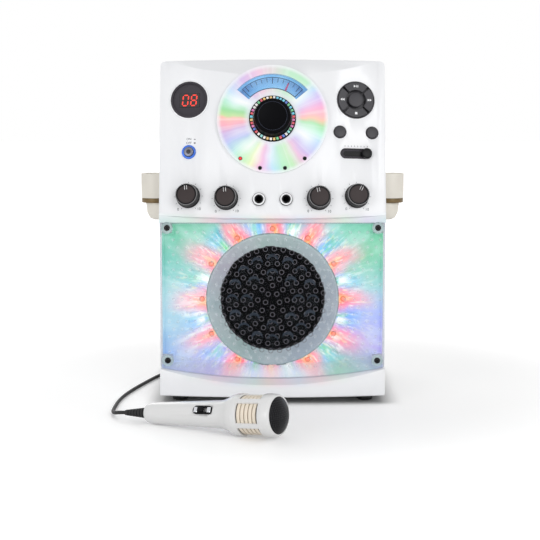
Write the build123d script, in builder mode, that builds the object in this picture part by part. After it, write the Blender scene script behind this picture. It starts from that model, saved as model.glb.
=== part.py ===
from build123d import *
from math import acos, asin, atan2, ceil, cos, hypot, pi, radians, sin, sqrt, tan
import os

os.makedirs("parts", exist_ok=True)

# A tabletop karaoke machine: a cabinet with a leaning control panel, a light show round the speaker,
# a disc well under a hinged lid in the top, and a wired microphone that lies in front of it.
# Frame: origin on the floor under the middle of the cabinet, +X to the right seen from the front,
# +Y to the back, +Z up. Millimetres and degrees.

# ------------------------------------------------------------------ driving dimensions
body_width = 252.0
body_depth = 225.0
foot_height = 8.4
panel_lean = 14.0
panel_bow = 12.0
panel_foot_z = 205.0
panel_length = 187.1
panel_arch = 2.9
panel_corner = 5.0
panel_rim_depth = 16.0
panel_edge_middle = 3.9
panel_edge_side = 9.5
crescent_start = 165.0
crescent_slope = 28.3
skin = 3.0
cabinet_wall = 3.0
touch_gap = 0.3
running_gap = 0.05
button_gap = 0.35

# lower front
cover_thickness = 5.0
cover_setback = 2.0
cover_side_inset = 0.7
cover_top_z = 202.8
cover_corner = 4.0
ledge_middle_z = 27.0
ledge_side_z = 39.5
ledge_fall = 4.5
screw_inset_x = 8.7
screw_top_z = 197.2
screw_bottom_z = 48.1
screw_head_radius = 3.3
screw_shank_radius = 1.5
speaker_z = 116.5
sound_hole_radius = 1.25
sound_ring_pitch = 8.2
sound_ring_counts = (5, 8, 15, 20, 24, 30, 36)
sound_ring_starts = (-90.0, -90.0, 96.0, 90.0, 97.5, 96.0, 88.0)
funnel_mouth_radius = 74.0
funnel_throat_radius = 57.0
light_count = 12
light_ring_radius = 79.0

# control panel: u across and v up the panel, from the panel's foot
side_column_u = body_width / 2 - 33.0
knob_radius = 13.4
knob_height = 14.0
knob_row_v = 29.7
inner_knob_u = 51.0
inner_knob_v = 26.6
shaft_radius = 3.0
jack_u = 15.0
jack_v = 25.2
jack_bore_radius = 3.25
jack_bore_length = 31.0
jack_nut_radius = 7.1
power_v = 79.8
power_ring_radius = 7.9
power_button_radius = 5.25
power_release = 2.0
display_v = 139.2
display_radius = 20.9
display_window_width = 22.6
display_window_height = 15.5
pad_v = 139.0
pad_radius = 21.25
pad_travel = 1.0
small_button_offset = 18.0
small_button_v = 102.1
small_button_radius = 6.6
slider_v = 78.0
slider_length = 35.6
slider_height = 11.4
slider_knob_radius = 5.75
slider_travel = 23.0
disc_face_v = 115.4
disc_face_radius = 61.6
disc_face_thickness = 1.6
master_knob_radius = 21.5
master_knob_height = 15.0
meter_inner_radius = 34.3
meter_outer_radius = 51.5
meter_half_angle = 50.0
meter_well_radius = 53.5
meter_well_depth = 4.0
needle_angle = 23.5
indicator_radius = 2.05
indicator_circle = 57.2

# top, lid and disc drive
deck_thickness = 3.0
well_radius = 66.5
well_depth = 16.0
well_y = 28.0
lid_width = 152.0
lid_height = 6.0
lid_front_y = -45.0
hinge_y = 101.0
hinge_lift = 4.0
hinge_pin_radius = 1.5
spindle_nose_radius = 7.4
turntable_radius = 15.0
sled_travel = 34.0
sled_start = 24.0
rail_radius = 1.5
rail_spread = 16.0

# microphone holders
holder_radius = 16.2
holder_bore = 14.0
holder_y = 40.0
holder_top_z = 251.1
holder_ring_z = 221.5
holder_cup_z = 215.5
holder_cup_radius = 13.4
holder_base_z = 195.0

# microphone and cable
mic_tail = (-131.0, -216.0)
mic_yaw = -31.0
mic_tail_radius = 11.2
mic_neck_radius = 14.6
mic_neck_s = 96.0
mic_head_radius = 21.9
mic_head_s = 114.0
mic_rim_s = 161.0
mic_wall = 2.2
mesh_radius = 18.8
mesh_rise = 7.0
mic_switch_s = 78.0
mic_switch_lift = 28.0
mic_switch_travel = 4.0
mic_window_turn = 57.0
relief_length = 29.0
cable_diameter = 4.0
coil_centre = (-80.0, 156.0)
coil_inner_radius = 14.5
coil_half_turns = 6
coil_layers = 4
coil_pitch = 5.6
coil_rise = 5.0
plug_shaft_radius = 3.15
plug_barrel_radius = 5.6

# ------------------------------------------------------------------ the panel's frame
half_width = body_width / 2
half_depth = body_depth / 2
bow_radius = (half_width**2 + panel_bow**2) / (2 * panel_bow)
side_front_y = -half_depth
crest_y = side_front_y - panel_bow
lean_sin = sin(radians(panel_lean))
lean_cos = cos(radians(panel_lean))
panel_foot = Vector(0, crest_y, panel_foot_z)
panel_up = Vector(0, lean_sin, lean_cos)
panel_out = Vector(0, -lean_cos, lean_sin)
across = Vector(1, 0, 0)
panel_front = Plane(origin=panel_foot, x_dir=across, z_dir=panel_out)
panel_section = Plane(origin=panel_foot, x_dir=across, z_dir=panel_up)
panel_side = Plane(origin=panel_foot, x_dir=panel_out, z_dir=-across)
rim_depth = panel_bow + panel_rim_depth
rim_y = crest_y + rim_depth * lean_cos
rim_z = panel_foot_z - rim_depth * lean_sin
panel_side_v = panel_length - panel_arch
deck_z = rim_z + panel_side_v * lean_cos
rim_top_y = rim_y + panel_side_v * lean_sin
cover_front_y = side_front_y + cover_setback
cover_back_y = cover_front_y + cover_thickness
front_view = Plane(origin=(0, 0, 0), x_dir=across, z_dir=(0, -1, 0))


def bow_drop(u):
    """How far the bowed surface lies behind its crest, u across from the middle."""
    return bow_radius - sqrt(bow_radius**2 - u**2)


def panel_site(u, v, out=0.0):
    """Plane on the bowed panel's skin at u, v, facing straight out of the skin there."""
    turn = asin(u / bow_radius)
    normal = across * sin(turn) + panel_out * cos(turn)
    sideways = across * cos(turn) - panel_out * sin(turn)
    spot = panel_foot + across * u + panel_up * v - panel_out * bow_drop(u)
    return Plane(origin=spot + normal * out, x_dir=sideways, z_dir=normal)


def finish(piece, name):
    """Label a finished piece and write it under its name."""
    piece.label = name
    export_step(piece, f"parts/{name}.step")
    print(f"{name:24s} {len(piece.solids())} solids {piece.volume:10.0f} mm3")


# ------------------------------------------------------------------ front bezel
def bowed_outline(inset, back, spare=0.0):
    """Sketch across the body: bowed front line, two sides and a straight back; y runs inwards."""
    half = half_width - inset + spare
    side = bow_radius - sqrt((bow_radius - inset) ** 2 - half**2)
    with BuildSketch() as outline:
        with BuildLine():
            ThreePointArc((-half, side), (0, inset), (half, side))
            Polyline((half, side), (half, back), (-half, back), (-half, side))
        make_face()
    return outline.sketch


def panel_block(inset):
    """The control panel's leaning, bowed block with its arched top and crescent facet."""
    half = half_width - inset
    back = rim_depth + (10 if inset else 0)
    with BuildPart() as block:
        with BuildSketch(panel_section.offset(-20)):
            add(bowed_outline(inset, back, 4.0))
        extrude(amount=panel_length + 40)
        with BuildSketch(panel_front) as face:
            with BuildLine():
                ThreePointArc(
                    (half, panel_side_v - inset),
                    (0, panel_length - inset),
                    (-half, panel_side_v - inset),
                )
                Line((-half, panel_side_v - inset), (-half, panel_edge_side + inset))
                ThreePointArc(
                    (-half, panel_edge_side + inset),
                    (0, panel_edge_middle + inset),
                    (half, panel_edge_side + inset),
                )
                Line((half, panel_edge_side + inset), (half, panel_side_v - inset))
            make_face()
            fillet(face.vertices().group_by(Axis.Y)[-1], max(panel_corner - inset, 1.0))
        extrude(amount=rim_depth + 30, both=True, mode=Mode.INTERSECT)
        slope_sin = sin(radians(crescent_slope))
        slope_cos = cos(radians(crescent_slope))
        near = Vector(12 * slope_sin - inset * slope_cos, crescent_start - 12 * slope_cos - inset * slope_sin)
        far = Vector(-60 * slope_sin - inset * slope_cos, crescent_start + 60 * slope_cos - inset * slope_sin)
        with BuildSketch(panel_side):
            with BuildLine():
                Polyline((near.X, near.Y), (far.X, far.Y), (30, far.Y), (30, near.Y), close=True)
            make_face()
        extrude(amount=body_width, both=True, mode=Mode.SUBTRACT)
    return block.part


ledge_sag = ledge_side_z - ledge_middle_z
ledge_radius = (half_width**2 + ledge_sag**2) / (2 * ledge_sag)


def ledge_height(x):
    """Height of the ledge's rear edge, where the cover meets it."""
    return ledge_middle_z + ledge_radius - sqrt(ledge_radius**2 - x**2)


def ledge_cutter(lift):
    """Everything above the ledge under the cover; lift raises or lowers the ledge."""
    half = half_width + 5
    side = ledge_height(half) + lift
    with BuildPart() as cutter:
        with BuildSketch(front_view.offset(-cover_front_y)) as above:
            with BuildLine():
                ThreePointArc((-half, side), (0, ledge_middle_z + lift), (half, side))
                Polyline((half, side), (half, panel_foot_z), (-half, panel_foot_z), (-half, side))
            make_face()
        forward = panel_bow + cover_setback
        extrude(amount=hypot(forward, ledge_fall) * 1.6, dir=(0, -forward, -ledge_fall))
        extrude(above.sketch, amount=-60)
    return cutter.part


def chin_block(inset):
    """The bowed chin below the cover, from its underside up to the sloping ledge."""
    with BuildPart() as block:
        with BuildSketch(Plane(origin=(0, crest_y, foot_height + inset))):
            add(bowed_outline(inset, rim_depth * lean_cos + (10 if inset else 0)))
        extrude(amount=ledge_side_z)
        add(ledge_cutter(-inset), mode=Mode.SUBTRACT)
        if not inset:
            lower_front = block.faces().sort_by(Axis.Z)[0].edges().filter_by(GeomType.LINE, reverse=True)
            fillet(lower_front, 2.0)
    return block.part


def hollowed(outer, inner):
    """One block less the smaller block inside it."""
    with BuildPart() as shell:
        add(outer)
        add(inner, mode=Mode.SUBTRACT)
    return shell.part


def lathe(site, corners):
    """Solid of revolution about the site's normal from (radius, height) corners."""
    with BuildPart() as turned:
        with BuildSketch(Plane(origin=site.origin, x_dir=site.x_dir, z_dir=-site.y_dir)):
            with BuildLine():
                Polyline(*corners, close=True)
            make_face()
        revolve(axis=Axis(site.origin, site.z_dir))
    return turned.part


def rod(site, radius, low, high):
    """Plain cylinder on the site's normal from one height to another."""
    with BuildPart() as bar:
        with BuildSketch(site.offset(low)):
            Circle(radius)
        extrude(amount=high - low)
    return bar.part


def slab(site, width, height, low, high):
    """Plain block on the site, centred, from one height to another."""
    with BuildPart() as block:
        with BuildSketch(site.offset(low)):
            Rectangle(width, height)
        extrude(amount=high - low)
    return block.part


def turned(site, angle):
    """The same site with its x and y axes turned about its normal."""
    return Plane(origin=site.origin, x_dir=site.x_dir * cos(radians(angle)) + site.y_dir * sin(radians(angle)),
                 z_dir=site.z_dir)


# where things sit on the panel
knob_sites = {
    "voice_control_knob": (panel_site(-side_column_u, knob_row_v), 5.0),
    "balance_knob": (panel_site(-inner_knob_u, inner_knob_v), 4.0),
    "echo_knob": (panel_site(inner_knob_u, inner_knob_v), 13.0),
    "mic_volume_knob": (panel_site(side_column_u, knob_row_v), -24.0),
}
disc_site = panel_site(0, disc_face_v)
display_site = panel_site(-side_column_u, display_v)
power_site = panel_site(-side_column_u, power_v)
pad_site = panel_site(side_column_u, pad_v)
slider_site = panel_site(side_column_u, slider_v)
small_sites = {
    "left_small_button": panel_site(side_column_u - small_button_offset, small_button_v),
    "right_small_button": panel_site(side_column_u + small_button_offset, small_button_v),
}
jack_sites = [panel_site(-jack_u, jack_v), panel_site(jack_u, jack_v)]
indicator_spots = [(side * indicator_circle * cos(radians(a)), -indicator_circle * sin(radians(a)))
                   for a in (76.0, 51.5) for side in (-1, 1)]

# how the pieces behind the cover stack up, front to back
boss_x = half_width - screw_inset_x
screw_spots = [(side * boss_x, z) for z in (screw_bottom_z, screw_top_z) for side in (-1, 1)]
reflector_rim_y = cover_back_y + 0.7
reflector_face_y = cover_back_y + 4.5
frame_front_y = reflector_face_y + 2.0
frame_back_y = rim_y
frame_window_radius = 88.0
bush_radius = 3.9
fit_gap = 0.1
jack_barrel_radius = 5.9
boss_height = 1.0
boss_radius = disc_face_radius - 0.6
board_depth = 20.0
board_thickness = 1.6
volume_bush_radius = 5.0
meter_floor = meter_well_depth + 2.5
speaker_site = Plane(origin=(0, 0, speaker_z), x_dir=across, z_dir=(0, 1, 0))
front_sheet = front_view.offset(-cover_front_y)

with BuildPart() as front_bezel:
    add(hollowed(panel_block(0.0), panel_block(skin)))
    # round boss that carries the disc face and the meter, hollowed to a shallow cup
    with BuildSketch(disc_site.offset(boss_height)):
        Circle(boss_radius)
    extrude(amount=-boss_height - 9.0)
    with BuildSketch(disc_site.offset(-meter_well_depth)):
        Circle(meter_well_radius)
    extrude(amount=meter_well_depth + 5.0, mode=Mode.SUBTRACT)
    with BuildSketch(disc_site.offset(-meter_floor)):
        Circle(boss_radius - 10.0)
    extrude(amount=-panel_rim_depth, mode=Mode.SUBTRACT)
    # chin, fascia, shelf, frame plate and side rails of the lower front
    add(hollowed(chin_block(0.0), chin_block(skin)))
    fascia_low = cover_top_z + touch_gap
    fascia_top = panel_foot_z + panel_edge_side
    with BuildSketch(front_sheet):
        with Locations((0, (fascia_low + fascia_top) / 2)):
            Rectangle(body_width, fascia_top - fascia_low)
    extrude(amount=-2.5)
    with BuildSketch(front_sheet):
        with Locations((0, fascia_low + 1.25)):
            Rectangle(body_width, 2.5)
    extrude(amount=-(frame_back_y - cover_front_y))
    frame_low = foot_height + 2.0
    with BuildSketch(front_view.offset(-frame_front_y)):
        with Locations((0, (frame_low + fascia_top) / 2)):
            Rectangle(body_width, fascia_top - frame_low)
        with Locations((0, speaker_z)):
            Circle(frame_window_radius, mode=Mode.SUBTRACT)
    extrude(amount=-(frame_back_y - frame_front_y))
    for side in (-1, 1):
        with BuildSketch(Plane(origin=(side * half_width, 0, 0), x_dir=(0, 1, 0), z_dir=across)):
            rail_rise = (fascia_top - rim_z) * tan(radians(panel_lean))
            with BuildLine():
                Polyline(
                    (cover_back_y + 1.0, foot_height + skin),
                    (rim_y, foot_height + skin),
                    (rim_y, rim_z),
                    (rim_y + rail_rise, fascia_top),
                    (cover_back_y + 1.0, fascia_top),
                    close=True,
                )
            make_face()
        extrude(amount=-side * 2.5)
    # screw bosses of the cover
    with BuildSketch(front_view.offset(-cover_back_y)):
        with Locations(*screw_spots):
            Circle(4.2)
    extrude(amount=-(frame_back_y - cover_back_y))
    with BuildSketch(front_view.offset(-cover_back_y)):
        with Locations(*screw_spots):
            Circle(screw_shank_radius)
    extrude(amount=-15.0, mode=Mode.SUBTRACT)
    # openings of the control panel
    for site, _ in knob_sites.values():
        add(rod(site, bush_radius + fit_gap, -8.0, 4.0), mode=Mode.SUBTRACT)
    for site in jack_sites:
        add(rod(site, jack_barrel_radius + fit_gap, -8.0, 4.0), mode=Mode.SUBTRACT)
    for site in small_sites.values():
        add(rod(site, small_button_radius + button_gap, -8.0, 4.0), mode=Mode.SUBTRACT)
    add(rod(display_site, display_radius + fit_gap, -8.0, 4.0), mode=Mode.SUBTRACT)
    add(rod(pad_site, pad_radius + fit_gap, -8.0, 4.0), mode=Mode.SUBTRACT)
    add(rod(power_site, power_ring_radius + fit_gap, -8.0, 4.0), mode=Mode.SUBTRACT)
    add(rod(disc_site, volume_bush_radius + fit_gap, -12.0, 4.0), mode=Mode.SUBTRACT)
    with BuildSketch(slider_site.offset(4.0)):
        SlotOverall(slider_length + 2 * fit_gap, slider_height + 2 * fit_gap)
    extrude(amount=-12.0, mode=Mode.SUBTRACT)
    for u, v in indicator_spots:
        add(rod(Plane(origin=disc_site.from_local_coords((u, v, 0)), x_dir=across, z_dir=disc_site.z_dir),
                indicator_radius + running_gap, -14.0, 6.0), mode=Mode.SUBTRACT)
    # posts that carry the control board
    for u, v in ((-66.0, 52.0), (66.0, 52.0), (-66.0, 172.0), (66.0, 172.0)):
        post = Plane(origin=panel_front.from_local_coords((u, v, 0)), x_dir=across, z_dir=panel_out)
        add(rod(post, 3.2, -board_depth, -bow_drop(u) - 2.0 - (1.5 if v > crescent_start else 0.0)))

finish(front_bezel.part, "front_bezel")


# ------------------------------------------------------------------ cabinet
wall_front = rim_y + touch_gap
deck_low = deck_z - deck_thickness
with BuildPart() as cabinet_shell:
    lean_run = (deck_low - rim_z) * tan(radians(panel_lean))
    with BuildSketch(Plane(origin=(-half_width, 0, 0), x_dir=(0, 1, 0), z_dir=across)):
        with BuildLine():
            Polyline(
                (wall_front, foot_height),
                (half_depth, foot_height),
                (half_depth, deck_low),
                (wall_front + lean_run, deck_low),
                (wall_front, rim_z),
                close=True,
            )
        make_face()
    extrude(amount=body_width)
    with BuildSketch(Plane(origin=(0, 0, foot_height + cabinet_wall))):
        Rectangle(body_width - 2 * cabinet_wall, 2 * body_depth)
    extrude(amount=deck_z, mode=Mode.SUBTRACT)
    # corner posts that take the rear screws
    rear_spots = [(side * 117.5, z) for z in (22.0, 190.0, 362.0) for side in (-1, 1)]
    with BuildSketch(Plane(origin=(0, 98.0, 0), x_dir=across, z_dir=(0, -1, 0))):
        with Locations(*rear_spots):
            Rectangle(11.0, 10.0)
            Circle(1.4, mode=Mode.SUBTRACT)
    extrude(amount=-12.0)
finish(cabinet_shell.part, "cabinet_shell")

rear_front_y = half_depth - 2.5
rca_spots = [(52.0, 60.0), (70.0, 60.0)]
aux_spot = (92.0, 60.0)
inlet_spot = (-92.0, 40.0)
inlet_size = (27.0, 20.0)
with BuildPart() as rear_panel:
    with BuildSketch(Plane(origin=(0, rear_front_y, 0), x_dir=across, z_dir=(0, -1, 0))):
        with Locations((0, (foot_height + cabinet_wall + deck_low) / 2)):
            Rectangle(body_width - 2 * cabinet_wall, deck_low - foot_height - cabinet_wall)
        with Locations(*rear_spots):
            Circle(1.5, mode=Mode.SUBTRACT)
        with Locations(*rca_spots):
            Circle(5.2, mode=Mode.SUBTRACT)
        with Locations(aux_spot):
            Circle(4.1, mode=Mode.SUBTRACT)
        with Locations(inlet_spot):
            Rectangle(inlet_size[0] + 0.2, inlet_size[1] + 0.2, mode=Mode.SUBTRACT)
        with Locations((0, 300.0)):
            with GridLocations(0, 7.0, 1, 8):
                SlotOverall(120.0, 3.0, mode=Mode.SUBTRACT)
    extrude(amount=-2.5)
finish(rear_panel.part, "rear_panel")

with BuildPart() as rear_sockets:
    for x, z in rca_spots:
        site = Plane(origin=(x, half_depth, z), x_dir=-across, z_dir=(0, 1, 0))
        add(lathe(site, ((1.7, -14.0), (5.1, -14.0), (5.1, 0.0), (6.2, 0.0), (6.2, 0.8), (4.15, 0.8),
                         (4.15, 9.0), (1.7, 9.0))))
        add(lathe(site, ((0.0, -16.0), (5.1, -16.0), (5.1, -14.0), (0.0, -14.0))))
    site = Plane(origin=(aux_spot[0], half_depth, aux_spot[1]), x_dir=-across, z_dir=(0, 1, 0))
    add(lathe(site, ((1.8, -14.0), (4.0, -14.0), (4.0, 0.0), (5.0, 0.0), (5.0, 1.4), (1.8, 1.4))))
    add(lathe(site, ((0.0, -16.0), (4.0, -16.0), (4.0, -14.0), (0.0, -14.0))))
    site = Plane(origin=(inlet_spot[0], half_depth, inlet_spot[1]), x_dir=-across, z_dir=(0, 1, 0))
    add(slab(site, *inlet_size, -22.0, 0.0))
    add(slab(site, inlet_size[0] + 4, inlet_size[1] + 4, 0.0, 1.5))
    with BuildSketch(site.offset(1.5)):
        Rectangle(24.0, 16.5)
    extrude(amount=-17.5, mode=Mode.SUBTRACT)
    for x, z in ((-7.0, 1.5), (0.0, -2.5), (7.0, 1.5)):
        pin = Plane(origin=site.from_local_coords((x, z, 0)), x_dir=across * -1, z_dir=(0, 1, 0))
        add(slab(pin, 2.0, 4.0, -17.0, -4.0))
finish(rear_sockets.part, "rear_sockets")

lid_base = deck_z + touch_gap
hinge_z = deck_z + hinge_lift
with BuildPart() as top_deck:
    with BuildSketch(Plane(origin=(0, 0, deck_low))):
        deck_front = rim_top_y + touch_gap
        with Locations((0, (deck_front + half_depth) / 2)):
            Rectangle(body_width, half_depth - deck_front)
    extrude(amount=deck_thickness)
    with BuildSketch(Plane(origin=(0, 0, deck_z))):
        with Locations((0, well_y)):
            Circle(well_radius + 2.0)
    extrude(amount=-well_depth - 2.0)
    with BuildSketch(Plane(origin=(0, 0, deck_z))):
        with Locations((0, well_y)):
            Circle(well_radius)
    extrude(amount=-well_depth, mode=Mode.SUBTRACT)
    with BuildSketch(Plane(origin=(0, 0, deck_z - well_depth))):
        with Locations((0, well_y)):
            Circle(turntable_radius + 1.5)
        with Locations((0, well_y - 40.0)):
            Rectangle(16.0, 46.0)
    extrude(amount=-4.0, mode=Mode.SUBTRACT)
    for x in (-64.0, -46.0, 46.0, 64.0):
        with Locations((x, hinge_y, deck_z + hinge_lift / 2)):
            Box(5.0, 6.0, hinge_lift)
        with Locations((x, hinge_y, hinge_z)):
            Cylinder(3.0, 5.0, rotation=(0, 90, 0))
            Cylinder(hinge_pin_radius, 5.0, rotation=(0, 90, 0), mode=Mode.SUBTRACT)
finish(top_deck.part, "top_deck")

with BuildPart() as lid_hinge_pins:
    for x in (-55.0, 55.0):
        with Locations((x, hinge_y, hinge_z)):
            Cylinder(hinge_pin_radius, 23.0, rotation=(0, 90, 0))
finish(lid_hinge_pins.part, "lid_hinge_pins")

lid_rear_y = hinge_y - 3.8
lid_wall = 2.2
clamp_low = deck_z - 8.0
with BuildPart() as disc_lid:
    with BuildSketch(Plane(origin=(0, 0, lid_base))):
        with Locations((0, (lid_front_y + lid_rear_y) / 2)):
            RectangleRounded(lid_width, lid_rear_y - lid_front_y, 7.0)
    extrude(amount=lid_height)
    fillet(disc_lid.faces().sort_by(Axis.Z)[-1].edges(), 1.5)
    with BuildSketch(Plane(origin=(0, 0, lid_base))):
        with Locations((0, (lid_front_y + lid_rear_y) / 2)):
            RectangleRounded(lid_width - 2 * lid_wall, lid_rear_y - lid_front_y - 2 * lid_wall, 5.0)
    extrude(amount=lid_height - lid_wall, mode=Mode.SUBTRACT)
    # ring under the lid that keeps a disc on the spindle nose
    with BuildSketch(Plane(origin=(0, 0, clamp_low))):
        with Locations((0, well_y)):
            Circle(13.0)
            Circle(9.0, mode=Mode.SUBTRACT)
    extrude(amount=lid_base + lid_height - lid_wall / 2 - clamp_low)
    for x in (-55.0, 55.0):
        with Locations((x, hinge_y, hinge_z)):
            Cylinder(3.0, 12.0, rotation=(0, 90, 0))
        with Locations((x, hinge_y - 3.0, hinge_z + 0.5)):
            Box(12.0, 6.0, 3.0)
        with Locations((x, hinge_y, hinge_z)):
            Cylinder(hinge_pin_radius + running_gap, 12.0, rotation=(0, 90, 0), mode=Mode.SUBTRACT)
finish(disc_lid.part, "disc_lid")

with BuildPart() as feet:
    for x, y in ((-105.0, -86.0), (105.0, -86.0), (-105.0, 92.0), (105.0, 92.0)):
        add(lathe(Plane(origin=(x, y, 0)), ((0, 0), (8.0, 0), (9.0, 1.0), (9.0, foot_height), (0, foot_height))))
finish(feet.part, "feet")

with BuildPart() as case_screws:
    for x, z in screw_spots:
        site = Plane(origin=(x, cover_front_y, z), x_dir=across, z_dir=(0, -1, 0))
        add(lathe(site, ((0, -12.0), (screw_shank_radius, -12.0), (screw_shank_radius, -1.6),
                         (screw_head_radius, -1.6), (screw_head_radius, -0.2), (0, 0.2))))
    for x, z in rear_spots:
        site = Plane(origin=(x, half_depth, z), x_dir=-across, z_dir=(0, 1, 0))
        add(lathe(site, ((0, -12.0), (1.4, -12.0), (1.4, 0.0), (3.0, 0.0), (3.0, 1.2), (0, 1.6))))
finish(case_screws.part, "case_screws")

# ------------------------------------------------------------------ clear cover, light show, speaker
with BuildPart() as clear_cover:
    cover_half = half_width - cover_side_inset
    cover_side_z = ledge_height(cover_half) + touch_gap
    with BuildSketch(front_sheet) as cover_face:
        with BuildLine():
            ThreePointArc((-cover_half, cover_side_z), (0, ledge_middle_z + touch_gap), (cover_half, cover_side_z))
            Polyline(
                (cover_half, cover_side_z),
                (cover_half, cover_top_z),
                (-cover_half, cover_top_z),
                (-cover_half, cover_side_z),
            )
        make_face()
        fillet(cover_face.vertices().group_by(Axis.Y)[0], cover_corner)
        with Locations(*screw_spots):
            Circle(screw_shank_radius + fit_gap, mode=Mode.SUBTRACT)
        with Locations((0, speaker_z)):
            Circle(sound_hole_radius, mode=Mode.SUBTRACT)
            for ring, (count, start) in enumerate(zip(sound_ring_counts, sound_ring_starts), 1):
                with PolarLocations(ring * sound_ring_pitch, count, start_angle=start):
                    Circle(sound_hole_radius, mode=Mode.SUBTRACT)
    extrude(amount=-cover_thickness)
    with BuildSketch(front_sheet):
        with Locations(*screw_spots):
            Circle(screw_head_radius + 0.2)
    extrude(amount=-1.6, mode=Mode.SUBTRACT)
finish(clear_cover.part, "clear_cover")

reflector_half = half_width - 2.5 - touch_gap
reflector_base = ledge_side_z + skin + 1.0
reflector_top = fascia_low - 1.3
notch_spots = [(side * (half_width - 7.5), z) for z in (screw_bottom_z, screw_top_z) for side in (-1, 1)]
with BuildPart() as light_reflector:
    with BuildSketch(front_view.offset(-reflector_rim_y)):
        with Locations((0, (reflector_base + reflector_top) / 2)):
            Rectangle(2 * reflector_half, reflector_top - reflector_base)
        with Locations((0, speaker_z)):
            Circle(funnel_mouth_radius + 0.5, mode=Mode.SUBTRACT)
        with Locations(*notch_spots):
            Rectangle(13.0, 13.0, mode=Mode.SUBTRACT)
    extrude(amount=-(frame_front_y - reflector_rim_y))
    with BuildSketch(front_view.offset(-reflector_rim_y)):
        with Locations((0, (reflector_base + reflector_top) / 2)):
            Rectangle(2 * reflector_half - 3.0, reflector_top - reflector_base - 3.0)
        with Locations((0, speaker_z)):
            Circle(funnel_mouth_radius + 2.0, mode=Mode.SUBTRACT)
        with Locations(*notch_spots):
            Rectangle(16.0, 16.0, mode=Mode.SUBTRACT)
    extrude(amount=-(reflector_face_y - reflector_rim_y), mode=Mode.SUBTRACT)
    with BuildSketch(front_view.offset(-reflector_rim_y)):
        with Locations((0, speaker_z)):
            with PolarLocations(light_ring_radius, light_count):
                Circle(2.7)
    extrude(amount=-12.0, mode=Mode.SUBTRACT)
finish(light_reflector.part, "light_reflector")

led_front_y = reflector_face_y - 1.0
board_front_y = frame_back_y
with BuildPart() as light_board:
    with BuildSketch(front_view.offset(-board_front_y)):
        with Locations((0, speaker_z)):
            Circle(84.0)
            Circle(68.5, mode=Mode.SUBTRACT)
        with Locations((0, speaker_z)):
            with PolarLocations(88.0, 4, start_angle=45):
                Rectangle(10.0, 14.0)
    extrude(amount=-board_thickness)
    with BuildSketch(front_view.offset(-led_front_y)):
        with Locations((0, speaker_z)):
            with PolarLocations(light_ring_radius, light_count):
                Circle(2.5)
    extrude(amount=-(board_front_y - led_front_y))
finish(light_board.part, "light_board")

throat_y = cover_back_y + 10.5
with BuildPart() as speaker_ring:
    add(lathe(speaker_site, (
        (funnel_mouth_radius, cover_back_y + touch_gap),
        (funnel_mouth_radius, cover_back_y + 2.0),
        (funnel_throat_radius + 3.0, throat_y),
        (66.0, throat_y),
        (66.0, throat_y + 2.0),
        (funnel_throat_radius, throat_y + 2.0),
        (funnel_throat_radius, throat_y - 1.0),
        (funnel_mouth_radius - 2.0, cover_back_y + touch_gap),
    )))
finish(speaker_ring.part, "speaker_ring")

basket_y = throat_y + 2.0
with BuildPart() as speaker_frame:
    add(lathe(speaker_site, (
        (56.0, basket_y), (66.0, basket_y), (66.0, basket_y + 2.0), (58.0, basket_y + 2.0),
        (37.0, basket_y + 31.0), (37.0, basket_y + 33.0), (16.0, basket_y + 33.0), (16.0, basket_y + 31.0),
        (35.0, basket_y + 31.0), (56.0, basket_y + 2.0),
    )))
    add(lathe(speaker_site, ((0, basket_y + 33.0), (35.0, basket_y + 33.0), (35.0, basket_y + 48.0),
                             (0, basket_y + 48.0))))
    # two arms that carry the speaker on the frame plate
    for side in (-1, 1):
        with Locations((side * 78.0, basket_y + 1.0, speaker_z)):
            Box(30.0, 2.0, 16.0)
        with Locations((side * 91.0, (frame_back_y + basket_y) / 2, speaker_z)):
            Box(4.0, basket_y - frame_back_y, 16.0)
finish(speaker_frame.part, "speaker_frame")

with BuildPart() as speaker_cone:
    add(lathe(speaker_site, (
        (54.0, basket_y + 0.4), (55.4, basket_y + 0.4), (55.4, basket_y + 2.2), (53.0, basket_y + 3.0),
        (18.0, basket_y + 24.0), (0, basket_y + 24.0), (0, basket_y + 22.5), (17.0, basket_y + 22.5),
        (51.0, basket_y + 2.0),
    )))
    add(lathe(speaker_site, ((12.0, basket_y + 23.5), (13.0, basket_y + 23.5), (13.0, basket_y + 33.0),
                             (12.0, basket_y + 33.0))))
finish(speaker_cone.part, "speaker_cone")

# ------------------------------------------------------------------ centre of the panel
def ring_part(site, inner, outer, low, high):
    """Flat ring on the site's normal."""
    with BuildPart() as ring:
        with BuildSketch(site.offset(low)):
            Circle(outer)
            Circle(inner, mode=Mode.SUBTRACT)
        extrude(amount=high - low)
    return ring.part


def sector_part(site, inner, outer, start, end, low, high):
    """Ring sector on the site, angles from the site's x axis."""
    middle = radians((start + end) / 2)
    first = radians(start)
    last = radians(end)
    with BuildPart() as sector:
        with BuildSketch(site.offset(low)):
            with BuildLine():
                a = (outer * cos(first), outer * sin(first))
                b = (outer * cos(last), outer * sin(last))
                c = (inner * cos(last), inner * sin(last))
                d = (inner * cos(first), inner * sin(first))
                ThreePointArc(a, (outer * cos(middle), outer * sin(middle)), b)
                Line(b, c)
                ThreePointArc(c, (inner * cos(middle), inner * sin(middle)), d)
                Line(d, a)
            make_face()
        extrude(amount=high - low)
    return sector.part


face_low = boss_height
face_high = boss_height + disc_face_thickness
meter_start = 90.0 - meter_half_angle
meter_end = 90.0 + meter_half_angle
with BuildPart() as disc_face:
    add(ring_part(disc_site, 12.0, disc_face_radius, face_low, face_high))
    add(sector_part(disc_site, meter_inner_radius, meter_outer_radius, meter_start, meter_end,
                    face_low - 1, face_high + 1), mode=Mode.SUBTRACT)
    for u, v in indicator_spots:
        add(rod(Plane(origin=disc_site.from_local_coords((u, v, 0)), x_dir=across, z_dir=disc_site.z_dir),
                indicator_radius + running_gap, face_low - 1, face_high + 1), mode=Mode.SUBTRACT)
finish(disc_face.part, "disc_face")

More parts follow.
